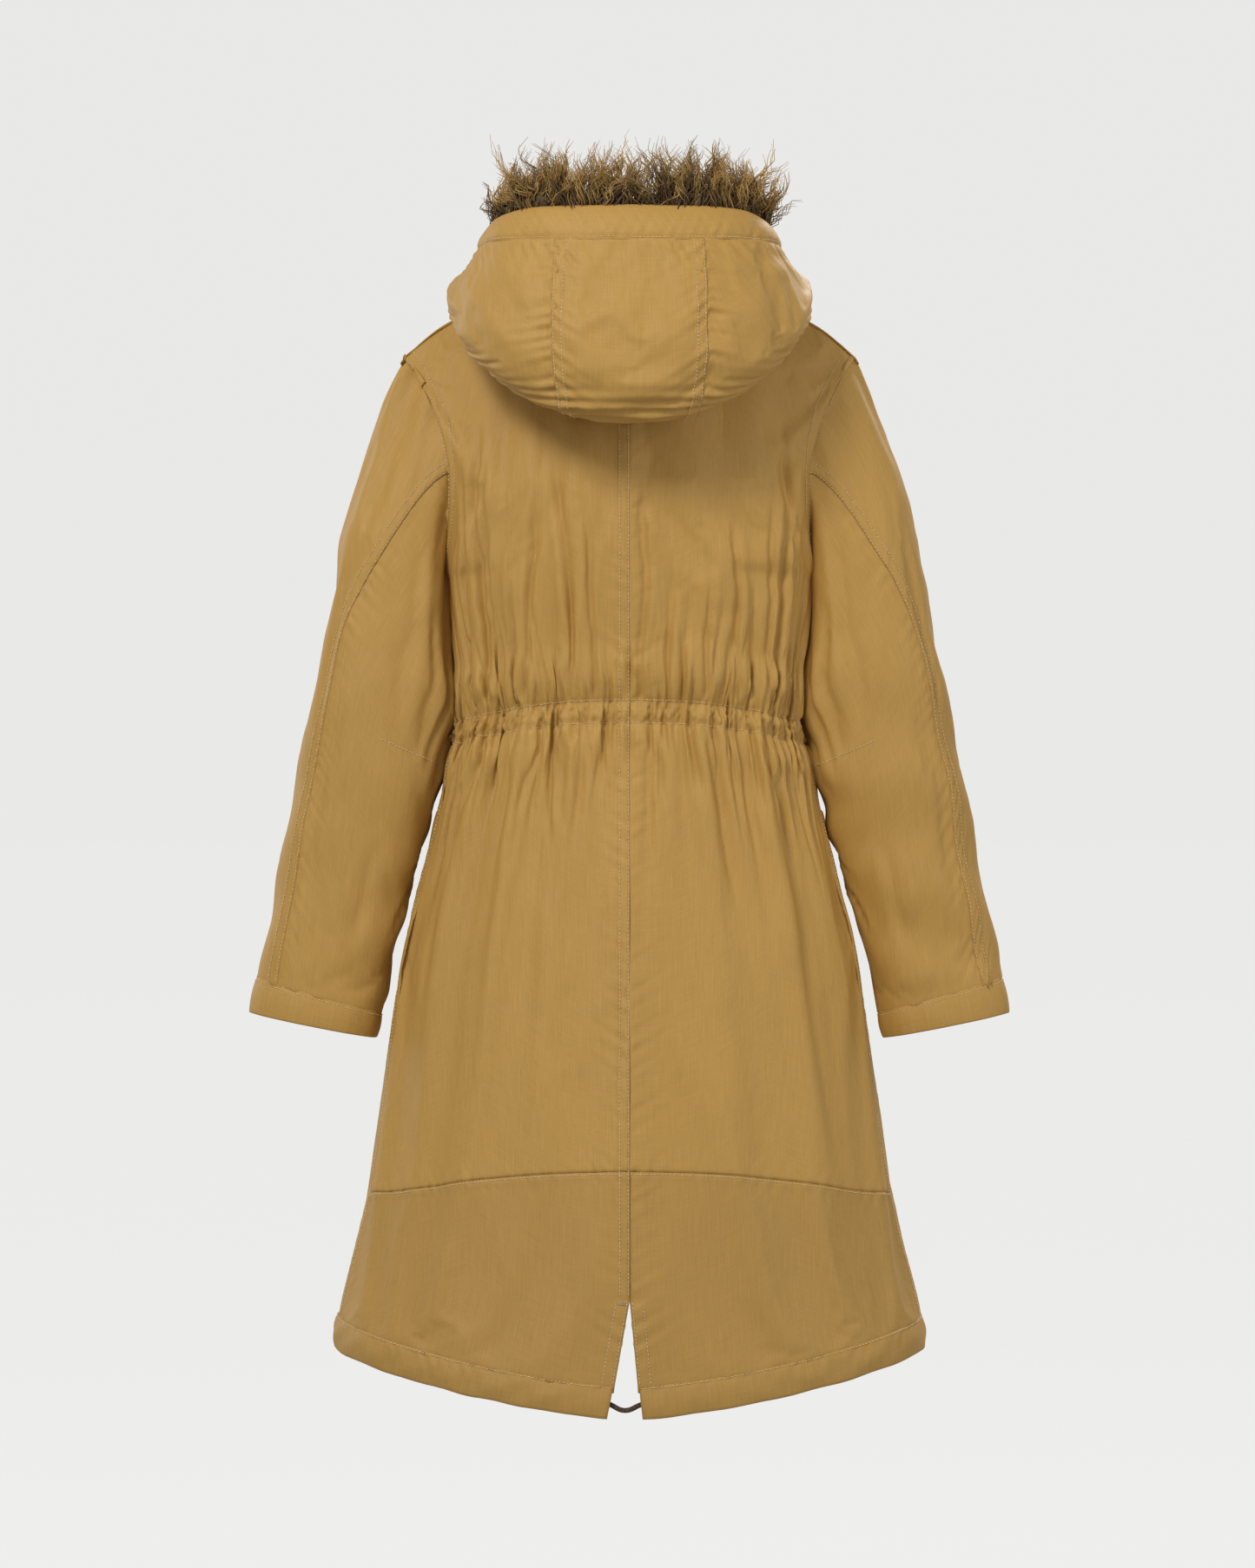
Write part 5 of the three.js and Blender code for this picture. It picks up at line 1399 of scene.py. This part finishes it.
# ---------------------------------------------------------------- fur
def fur_piece():
    """Long curly wool: locks of strands that share a direction, wave and curl."""
    rng = np.random.default_rng(11)
    locks, strands, steps = 430, 9, 9
    across = rng.uniform(-0.95, 0.95, locks)
    standing = rng.uniform(0, 1, locks) < 0.72
    lock_rim = hood_face(across, np.ones(locks))
    inward = xyz(-lock_rim[:, 0], 0.060 - lock_rim[:, 1], 0)
    inward /= np.linalg.norm(inward, axis=1, keepdims=True)
    along = np.cross(inward, [0, 0, 1])
    depth = np.where(standing, rng.uniform(0.004, 0.020, locks), rng.uniform(0.012, 0.024, locks))
    root = lock_rim + inward * depth[:, None]
    root[:, 2] += np.where(standing, rng.uniform(-0.010, 0.004, locks), rng.uniform(-0.060, -0.012, locks))
    lean = np.where(standing, rng.normal(0.05, 0.42, locks), rng.uniform(0.5, 1.1, locks))
    slant = rng.normal(0, 0.48, locks)
    aim = xyz(0, 0, 1) * np.ones((locks, 1)) + inward * lean[:, None] + along * slant[:, None]
    aim /= np.linalg.norm(aim, axis=1, keepdims=True)
    length = np.where(standing, rng.uniform(0.034, 0.066, locks), rng.uniform(0.030, 0.050, locks))
    length *= np.where(rng.uniform(0, 1, locks) < 0.12, 1.25, 1.0)
    length *= mix(0.75, 1.0, np.cos(across * TURN))
    turns, phase = rng.uniform(1.1, 2.2, locks), rng.uniform(0, 2 * math.pi, locks)
    size = rng.uniform(0.0024, 0.0062, locks)
    shade = rng.uniform(-1, 1, locks)

    lock = np.repeat(np.arange(locks), strands)
    count = len(lock)
    spread = rng.normal(0, 0.0034, (count, 3))
    t = np.linspace(0, 1, steps)[None, :, None]
    reach = (length[lock] * rng.uniform(0.72, 1.08, count))[:, None, None]
    start = (root[lock] + spread)[:, None]
    fan = rng.normal(0, 0.028, (count, 1, 3))
    line = start + (aim[lock][:, None] + fan * t) * reach * t
    line -= spread[:, None] * 0.85 * t**1.2
    offset = (phase[lock] + rng.normal(0, 0.22, count))[:, None, None]
    angle = (turns[lock] * 2 * math.pi)[:, None, None] * t**1.2 + offset
    side = np.cross(aim, along)
    side /= np.linalg.norm(side, axis=1, keepdims=True)
    swing = along[lock][:, None] * np.sin(angle) + side[lock][:, None] * np.cos(angle)
    line += swing * (size[lock] * rng.uniform(0.7, 1.3, count))[:, None, None] * t**0.7
    line += along[lock][:, None] * (rng.normal(0, 0.003, count))[:, None, None] * t**2

    direction = np.gradient(line, axis=1)
    direction /= np.linalg.norm(direction, axis=2, keepdims=True)
    first = np.cross(direction, [0.31, 0.87, 0.38])
    first /= np.linalg.norm(first, axis=2, keepdims=True)
    second = np.cross(direction, first)
    width = (0.00062 * (1 - 0.72 * t**2)) * rng.uniform(0.7, 1.3, (count, 1, 1))
    ring = [line + (first * math.cos(a) + second * math.sin(a)) * width for a in (0, 2.094, 4.189)]
    vertices = np.stack(ring, 2)
    base = np.arange(count * (steps - 1))
    at = (base // (steps - 1)) * steps + base % (steps - 1)
    faces = np.concatenate([
        np.stack([at * 3 + k, at * 3 + (k + 1) % 3, at * 3 + 3 + (k + 1) % 3, at * 3 + 3 + k], -1)
        for k in range(3)
    ])
    strand = np.zeros((count, steps, 3, 3))
    strand[..., 0] = t
    strand[..., 1] = np.clip(shade[lock] + rng.normal(0, 0.3, count), -1, 1)[:, None, None]
    piece = make_mesh("fur_locks", vertices, faces, fur_wool_painted_root_shade, "strand", strand)
    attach(piece, "hood")
    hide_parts("hood_fur")

    def pelt(u, v):
        rim = hood_face(u, np.ones_like(u))
        toward = xyz(-rim[..., 0], 0.060 - rim[..., 1], 0)
        toward /= np.linalg.norm(toward, axis=2, keepdims=True)
        point = rim + toward * (0.005 + 0.018 * v)[..., None]
        point[..., 2] += mix(0.008, -0.060, v) + 0.004 * field(u * 0.2, v * 0.05, 300, 0.015, 0.02)
        return point

    patch = Patch(pelt, np.linspace(-0.97, 0.97, 200), np.linspace(0, 1, 40), 1)
    patch.lift(0.0022 * field(patch.arc_u, patch.arc_v, 301, 0.012, 0.012))
    backing = cloth_piece("fur_backing", patch, fur_wool_painted_root_shade, "fur", body="hood", thickness=0.002)
    # The backing takes the wool's colour near the dark root end: painted shade under the locks.
    layer = backing.data.attributes.new("strand", "FLOAT_VECTOR", "POINT")
    layer.data.foreach_set("vector", np.tile([0.12, 0.0, 0.0], len(backing.data.vertices)).astype(np.float32))


# ---------------------------------------------------------------- linings, collar and waist
def lining_pieces():
    def whole_back(across, level):
        left, right = panel_face(True, 1), panel_face(True, -1)
        return np.where((across < 0)[..., None], right(np.abs(across), level), left(np.abs(across), level))

    vs = spaced([0.25, 1, 2, 3, 3.5], [0.15, 0.21, 0.42, 0.10], 0.009)
    quilt(
        Patch(whole_back, np.linspace(-0.96, 0.96, 90), vs, 1), -LINING_DEPTH, "lining_back", ["back_lining"],
    )
    for name, side in SIDES:
        patch = Patch(panel_face(False, side), np.linspace(0.14, 0.96, 44), vs, -side)
        quilt(patch, -LINING_DEPTH, f"lining_front_{name}", [f"front_lining_{name}"])
        sleeve = Patch(sleeve_face(side), np.linspace(0, 2 * math.pi, 60), np.linspace(0.06, 0.95, 90), -side)
        quilt(sleeve, -0.0075, f"lining_sleeve_{name}", [f"sleeve_lining_{name}"], blend=SLEEVE[name])
    hood = Patch(hood_face, np.linspace(-0.93, 0.93, 110), np.linspace(HOOD_FOLD, 0.93, 70), -1)
    quilt(hood, -0.0095, "lining_hood", ["hood_lining"], body="hood")
    for name, side in SIDES:
        ends = (lambda up: 0 * up, lambda up, side=side: 0 * up + 0.93 * side)
        under = Patch(hood_face, np.linspace(0, 1, 56), np.linspace(0.03, HOOD_FOLD, 40), -side, ends)
        depth = 0.0080 + 0.0140 * np.sin(math.pi * np.clip(under.v / HOOD_FOLD, 0, 1))
        quilt(under, -depth, f"lining_hood_under_{name}", blend=HOOD_UNDER[name])


def quilt(patch, depth, name, nodes=(), body="coat", blend=None):
    """A smooth padded lining with shallow folds."""
    folds = 0.0014 * field(patch.arc_u, patch.arc_v, sum(map(ord, name)), 0.05, 0.16)
    patch.lift(depth + folds)
    cloth_piece(
        name, patch, lining_cloth, "lining", nodes, body=body, blend=blend, thickness=0.001, held="hung",
    )


def waist_pieces():
    reach = 2.35
    for name, half, depth, node, material, slot in (
        ("elastic_band", 0.007, 0.0068, "waist_elastic", elastic_weave, "elastic"),
        ("tunnel_backing", 0.011, 0.0096, "waist_tunnel", shell_cloth, "shell"),
    ):
        face = lambda angle, share, half=half: body_point(angle, waist_z(angle) + mix(half, -half, share))
        patch = Patch(face, np.linspace(-reach, reach, 260), np.linspace(0, 1, 9), 1)
        patch.lift(-depth + 0.0006 * waves(patch.arc_u, 320, 0.008, 0.016))
        cloth_piece(name, patch, material, slot, [node], thickness=0.001)


def collar_piece():
    reach = math.pi - 0.19
    patch = Patch(collar_face, np.linspace(-reach, reach, 220), np.linspace(-0.14, 1, 25), -1)
    share = np.maximum(patch.v, 0)
    height = 0.0012 * np.sin(math.pi * share) + 0.0006 * field(patch.arc_u, patch.arc_v, 330, 0.03, 0.03)
    patch.lift(height)
    cloth_piece("stand_collar", patch, shell_cloth, "shell", ["neck_band"], thickness=0.0026)
    sewing = Stitching("thread_collar")
    for row in (1.2, 19.6):
        sewing.line(patch, np.full(220, row), np.arange(220))
    sewing.finish()


def vent_facing_pieces():
    for name, side in SIDES:
        patch = Patch(panel_face(True, side), np.linspace(0.006, 0.06, 12), np.linspace(3.52, 3.99, 60), side)
        patch.lift(-0.0042 + 0.0004 * field(patch.arc_u, patch.arc_v, 340, 0.03, 0.03))
        cloth_piece(f"vent_turning_{name}", patch, hem_cloth_painted_shade, "hem", [f"vent_facing_{name}"], thickness=0.001)


# ---------------------------------------------------------------- front closure
def front_point(x, y, z):
    """From the zip's own tilted frame: x across, y inwards, z up along the zip."""
    angle = math.atan(FRONT_SLOPE)
    sine, cosine = math.sin(angle), math.cos(angle)
    return xyz(x, y * cosine + z * sine - NECK_FRONT, z * cosine - y * sine - NECK_FRONT_DROP)


def storm_flap_piece():
    down = FLAP_TOP - FLAP_LENGTH

    def face(u, v):
        x = mix(FLAP_HINGE_X, FLAP_HINGE_X + FLAP_WIDTH, u)
        lift = mix(0.0030, FLAP_LIFT + 0.0025, smooth((x - FLAP_HINGE_X) / 0.006))
        return front_point(x, -lift, mix(FLAP_TOP, down, v))

    patch = Patch(face, np.linspace(0, 1, 30), np.linspace(0, 1, 260), -1)
    height = 0.0005 * field(patch.arc_u, patch.arc_v, 350, 0.04, 0.05)
    height += -0.0005 * bump((patch.arc_u[:, -1:] - patch.arc_u - 0.006) / 0.002)
    patch.lift(height)
    cloth_piece(
        "storm_flap_cloth", patch, shell_cloth, "shell", ["storm_flap"], body="storm_flap", thickness=0.0022,
    )
    sewing = Stitching("thread_storm_flap", body="storm_flap")
    sewing.line(patch, *patch.column_line(0.006, far=True))
    sewing.line(patch, *patch.column_line(0.010))
    sewing.finish()


def block_row(name, centres, half, taper, material, nodes, body="coat"):
    """Small tapered blocks, one at each centre, in the zip's frame."""
    corners = np.array([(x, y, z) for z in (-1, 1) for y in (-1, 1) for x in (-1, 1)], float)
    shape = corners * half
    shape[:, 2] *= np.where(shape[:, 0] * taper > 0, 0.72, 1)
    shape[:, 1] *= np.where(corners[:, 0] * taper > 0, 0.8, 1)
    local = centres[:, None] + shape[None]
    vertices = front_point(local[..., 0], local[..., 1], local[..., 2])
    quads = np.array([(0, 2, 3, 1), (4, 5, 7, 6), (0, 1, 5, 4), (2, 6, 7, 3), (0, 4, 6, 2), (1, 3, 7, 5)])
    faces = (quads[None] + 8 * np.arange(len(centres))[:, None, None]).reshape(-1, 4)
    piece = make_mesh(name, vertices, faces, material, flat=True)
    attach(piece, body)
    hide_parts(*nodes)


def zip_pieces():
    bottom = ZIP_TOP - ZIP_LENGTH
    pitch = 0.0034
    for name, side in SIDES:
        heights = np.arange(bottom + 0.002, ZIP_TOP - 0.002, pitch) + (0 if side > 0 else pitch / 2)
        centres = np.stack(
            [np.full(len(heights), side * 0.00150), np.full(len(heights), 0.0037), heights], -1,
        )
        block_row(
            f"zip_elements_{name}", centres, (0.0014, 0.0018, 0.0007), -side, brass, [f"zip_teeth_{name}"],
        )

        def face(u, v, side=side):
            return front_point(side * mix(0.0006, 0.0115, u), 0.0060 + 0 * u, mix(ZIP_TOP, bottom, v))

        patch = Patch(face, np.linspace(0, 1, 8), np.linspace(0, 1, 220), -side)
        patch.lift(0.00012 * np.sin(patch.arc_u * 4200))
        cloth_piece(f"zip_woven_tape_{name}", patch, tape_weave, "tape", [f"zip_tape_{name}"])


def lathe_piece(name, profile, centre, axis, body, node):
    """A turned metal piece; profile is (radius, height) along its axis."""
    steps = 32
    axis = np.array(axis) / np.linalg.norm(axis)
    first = np.cross(axis, [0.0, 0.0, 1.0])
    first /= np.linalg.norm(first)
    second = np.cross(axis, first)
    angles = np.arange(steps) * 2 * math.pi / steps
    around = first * np.cos(angles)[:, None] + second * np.sin(angles)[:, None]
    vertices = np.concatenate([centre + around * r + axis * h for r, h in profile])
    faces = grid_faces(len(profile), steps, True, loop=True).tolist()
    last = len(profile) - 1
    faces += [list(range(steps)), [last * steps + k for k in range(steps - 1, -1, -1)]]
    mesh = bpy.data.meshes.new(name)
    mesh.from_pydata(vertices.tolist(), [], faces)
    mesh.materials.append(brass)
    mesh.polygons.foreach_set("use_smooth", np.ones(len(mesh.polygons), bool))
    piece = bpy.data.objects.new(name, mesh)
    bpy.context.scene.collection.objects.link(piece)
    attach(piece, body)
    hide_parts(node)


def snap_profiles(height_scale=1.0):
    """Radius and height of a snap's cap and stud, from the rim to the middle."""
    cap = [
        (0.0070, 0), (0.0070, 0.0009), (0.0066, 0.0013), (0.0058, 0.0013), (0.0055, 0.0011),
        (0.0051, 0.0012), (0.0045, 0.0017), (0.0032, 0.0022), (0.0016, 0.0025), (0.0004, 0.0026),
    ]
    stud = [
        (0.0050, 0), (0.0050, 0.0007), (0.0044, 0.0010), (0.0026, 0.0011), (0.0023, 0.0016),
        (0.0027, 0.0026), (0.0024, 0.0036), (0.0012, 0.0042), (0.0004, 0.0042),
    ]
    return cap, [(r, h * height_scale) for r, h in stud]


def middle_of(node):
    low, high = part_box(node)
    return np.array(low + high) / 2


def snap_pieces():
    angle = math.atan(FRONT_SLOPE)
    outward = np.array([0, -math.cos(angle), math.sin(angle)])
    cap, stud = snap_profiles()
    for i in range(1, 6):
        for word, profile, height in (("cap", cap, 0.0026), ("stud", stud, 0.0042)):
            node = f"snap_{word}_{i}"
            centre = middle_of(node) - outward * height / 2
            body = "storm_flap" if word == "cap" else "coat"
            lathe_piece(f"press_{word}_{i}", profile, centre, outward, body, node)
    cap, stud = snap_profiles(0.0010 / 0.0042)
    for name, side in SIDES:
        outward = np.array([side * 0.49, -0.861, 0.12])
        for word, profile, height in (("cap", cap, 0.0026), ("stud", stud, 0.0010)):
            node = f"pocket_snap_{word}_{name}"
            body = f"pocket_flap_{name}" if word == "cap" else "coat"
            base = middle_of(node) - outward * height / 2
            lathe_piece(f"pocket_press_{word}_{name}", profile, base, outward, body, node)


def pocket_pieces():
    for name, side in SIDES:
        face = panel_face(False, side)
        bag = Patch(face, np.linspace(*POCKET_ACROSS, 90), np.linspace(*POCKET_DOWN, 90), -side)
        u, v = np.meshgrid(np.linspace(0, 1, 90), np.linspace(0, 1, 90))
        edge = np.minimum(np.minimum(u * 5, (1 - u) * 5), (1 - v) * 5)
        height = 0.0016 + 0.0012 + (POCKET_BULGE - 0.0016) * smooth(edge)
        height += 0.0010 * smooth(edge * 1.4) * field(bag.arc_u, bag.arc_v, 360 + side, 0.05, 0.05)
        bag.lift(height)
        cloth_piece(f"pocket_bag_{name}", bag, shell_cloth, "shell", [f"pocket_{name}"])
        sewing = Stitching(f"thread_pocket_{name}")
        sewing.line(bag, *bag.column_line(0.002))
        sewing.line(bag, *bag.column_line(0.002, far=True))
        sewing.line(bag, *bag.row_line(89, -0.002))
        sewing.finish()
        wide = (POCKET_ACROSS[0] - 0.01, POCKET_ACROSS[1] + 0.01)
        flap = Patch(face, np.linspace(*wide, 90), np.linspace(*POCKET_FLAP_DOWN, 44), -side)
        u, v = np.meshgrid(np.linspace(0, 1, 90), np.linspace(0, 1, 44))
        height = mix(0.0038, POCKET_BULGE + 0.0026 + 0.0022 + 0.0026, smooth(v * 5))
        height += 0.0007 * smooth(v * 3) * field(flap.arc_u, flap.arc_v, 370 + side, 0.05, 0.05)
        flap.lift(height)
        body = f"pocket_flap_{name}"
        cloth_piece(
            f"pocket_flap_cloth_{name}", flap, shell_cloth, "shell", [body], body=body, thickness=0.0022,
        )
        sewing = Stitching(f"thread_pocket_flap_{name}", body=body)
        for distance in (0.002, 0.0075):
            sewing.line(flap, *flap.row_line(43, -distance))
        sewing.line(flap, *flap.column_line(0.002))
        sewing.line(flap, *flap.column_line(0.002, far=True))
        sewing.finish()


def hanger_loop_piece():
    """A tape loop: up from the collar seam, across and down again."""
    low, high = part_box("hanger_loop")
    width, thick = high.y - low.y, 0.0012
    half, rise = (high.x - low.x) / 2, high.z - low.z
    middle_y = (low.y + high.y) / 2
    steps = 60
    angle = np.linspace(0, math.pi, steps)
    x = half * 0.97 * signed_power(np.cos(angle), 0.55)
    z = low.z + rise * 0.93 * signed_power(np.sin(angle), 0.45)

    def face(u, v):
        i = v * (steps - 1)
        centre_x, centre_z = np.interp(i, np.arange(steps), x), np.interp(i, np.arange(steps), z)
        return xyz(centre_x, middle_y + mix(-width / 2, width / 2, u), centre_z)

    patch = Patch(face, np.linspace(0, 1, 7), np.linspace(0, 1, steps), 1)
    cloth_piece("hanger_tape", patch, tape_weave, "tape", ["hanger_loop"], thickness=thick)


# ---------------------------------------------------------------- stage
def add_stage():
    material, tree, shader = new_material("studio_white")
    glow = add(tree, "ShaderNodeEmission", Strength=0.80)
    glow.inputs["Color"].default_value = (1.0, 1.0, 0.985, 1)
    blend = add(tree, "ShaderNodeAddShader")
    shader.inputs["Base Color"].default_value = (0.018, 0.018, 0.018, 1)
    shader.inputs["Roughness"].default_value = 1.0
    tree.links.new(glow.outputs[0], blend.inputs[0])
    tree.links.new(shader.outputs[0], blend.inputs[1])
    tree.links.new(blend.outputs[0], tree.nodes["Material Output"].inputs["Surface"])
    steps, reach = 96, 22.0
    angles = np.arange(steps) * 2 * math.pi / steps
    floor_z = -1.55
    rings = [(0.0002, floor_z), (2.5, floor_z), (5.0, floor_z), (16.0, floor_z + 0.15), (20.0, floor_z + 0.8),
             (reach, floor_z + 3.0), (reach, floor_z + 16.0)]
    vertices = np.concatenate([xyz(r * np.cos(angles), r * np.sin(angles), z) for r, z in rings])
    floor = make_mesh("floor", vertices, grid_faces(len(rings), steps, True, loop=True), material)
    floor.visible_diffuse = False
    floor.visible_glossy = False


def add_light(name, place, size, power, colour=(1, 1, 1)):
    light = bpy.data.lights.new(name, "AREA")
    light.shape, light.size, light.energy, light.color = "SQUARE", size, power, colour
    holder = bpy.data.objects.new(name, light)
    holder.location = place
    aim = np.array(LIGHT_TARGET) - np.array(place)
    holder.rotation_euler = Vector(aim).to_track_quat("-Z", "Y").to_euler()
    bpy.context.scene.collection.objects.link(holder)


def add_lights():
    world = bpy.data.worlds.new("studio")
    world.use_nodes = True
    world.node_tree.nodes["Background"].inputs["Color"].default_value = (1, 1, 1, 1)
    world.node_tree.nodes["Background"].inputs["Strength"].default_value = WORLD_LIGHT
    bpy.context.scene.world = world
    add_light("key", (1.7, 3.2, 2.3), KEY_SIZE, KEY_POWER)
    add_light("fill", (-3.2, 2.6, 0.6), FILL_SIZE, FILL_POWER)
    add_light("front_key", (-1.7, -3.2, 2.3), KEY_SIZE, KEY_POWER)
    add_light("front_fill", (3.2, -2.6, 0.6), FILL_SIZE, FILL_POWER)
    bpy.context.scene.view_settings.view_transform = "Standard"


add_camera()
add_hem_cord()
body_panel_pieces()
hem_band_pieces()
sleeve_pieces()
hood_pieces()
fur_piece()
lining_pieces()
waist_pieces()
collar_piece()
vent_facing_pieces()
storm_flap_piece()
zip_pieces()
snap_pieces()
pocket_pieces()
hanger_loop_piece()
for node in ("zip_box", "zip_slider", "zip_pull"):
    metal_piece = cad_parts[node]
    metal_piece.data.materials.clear()
    metal_piece.data.materials.append(brass)
add_stage()
add_lights()
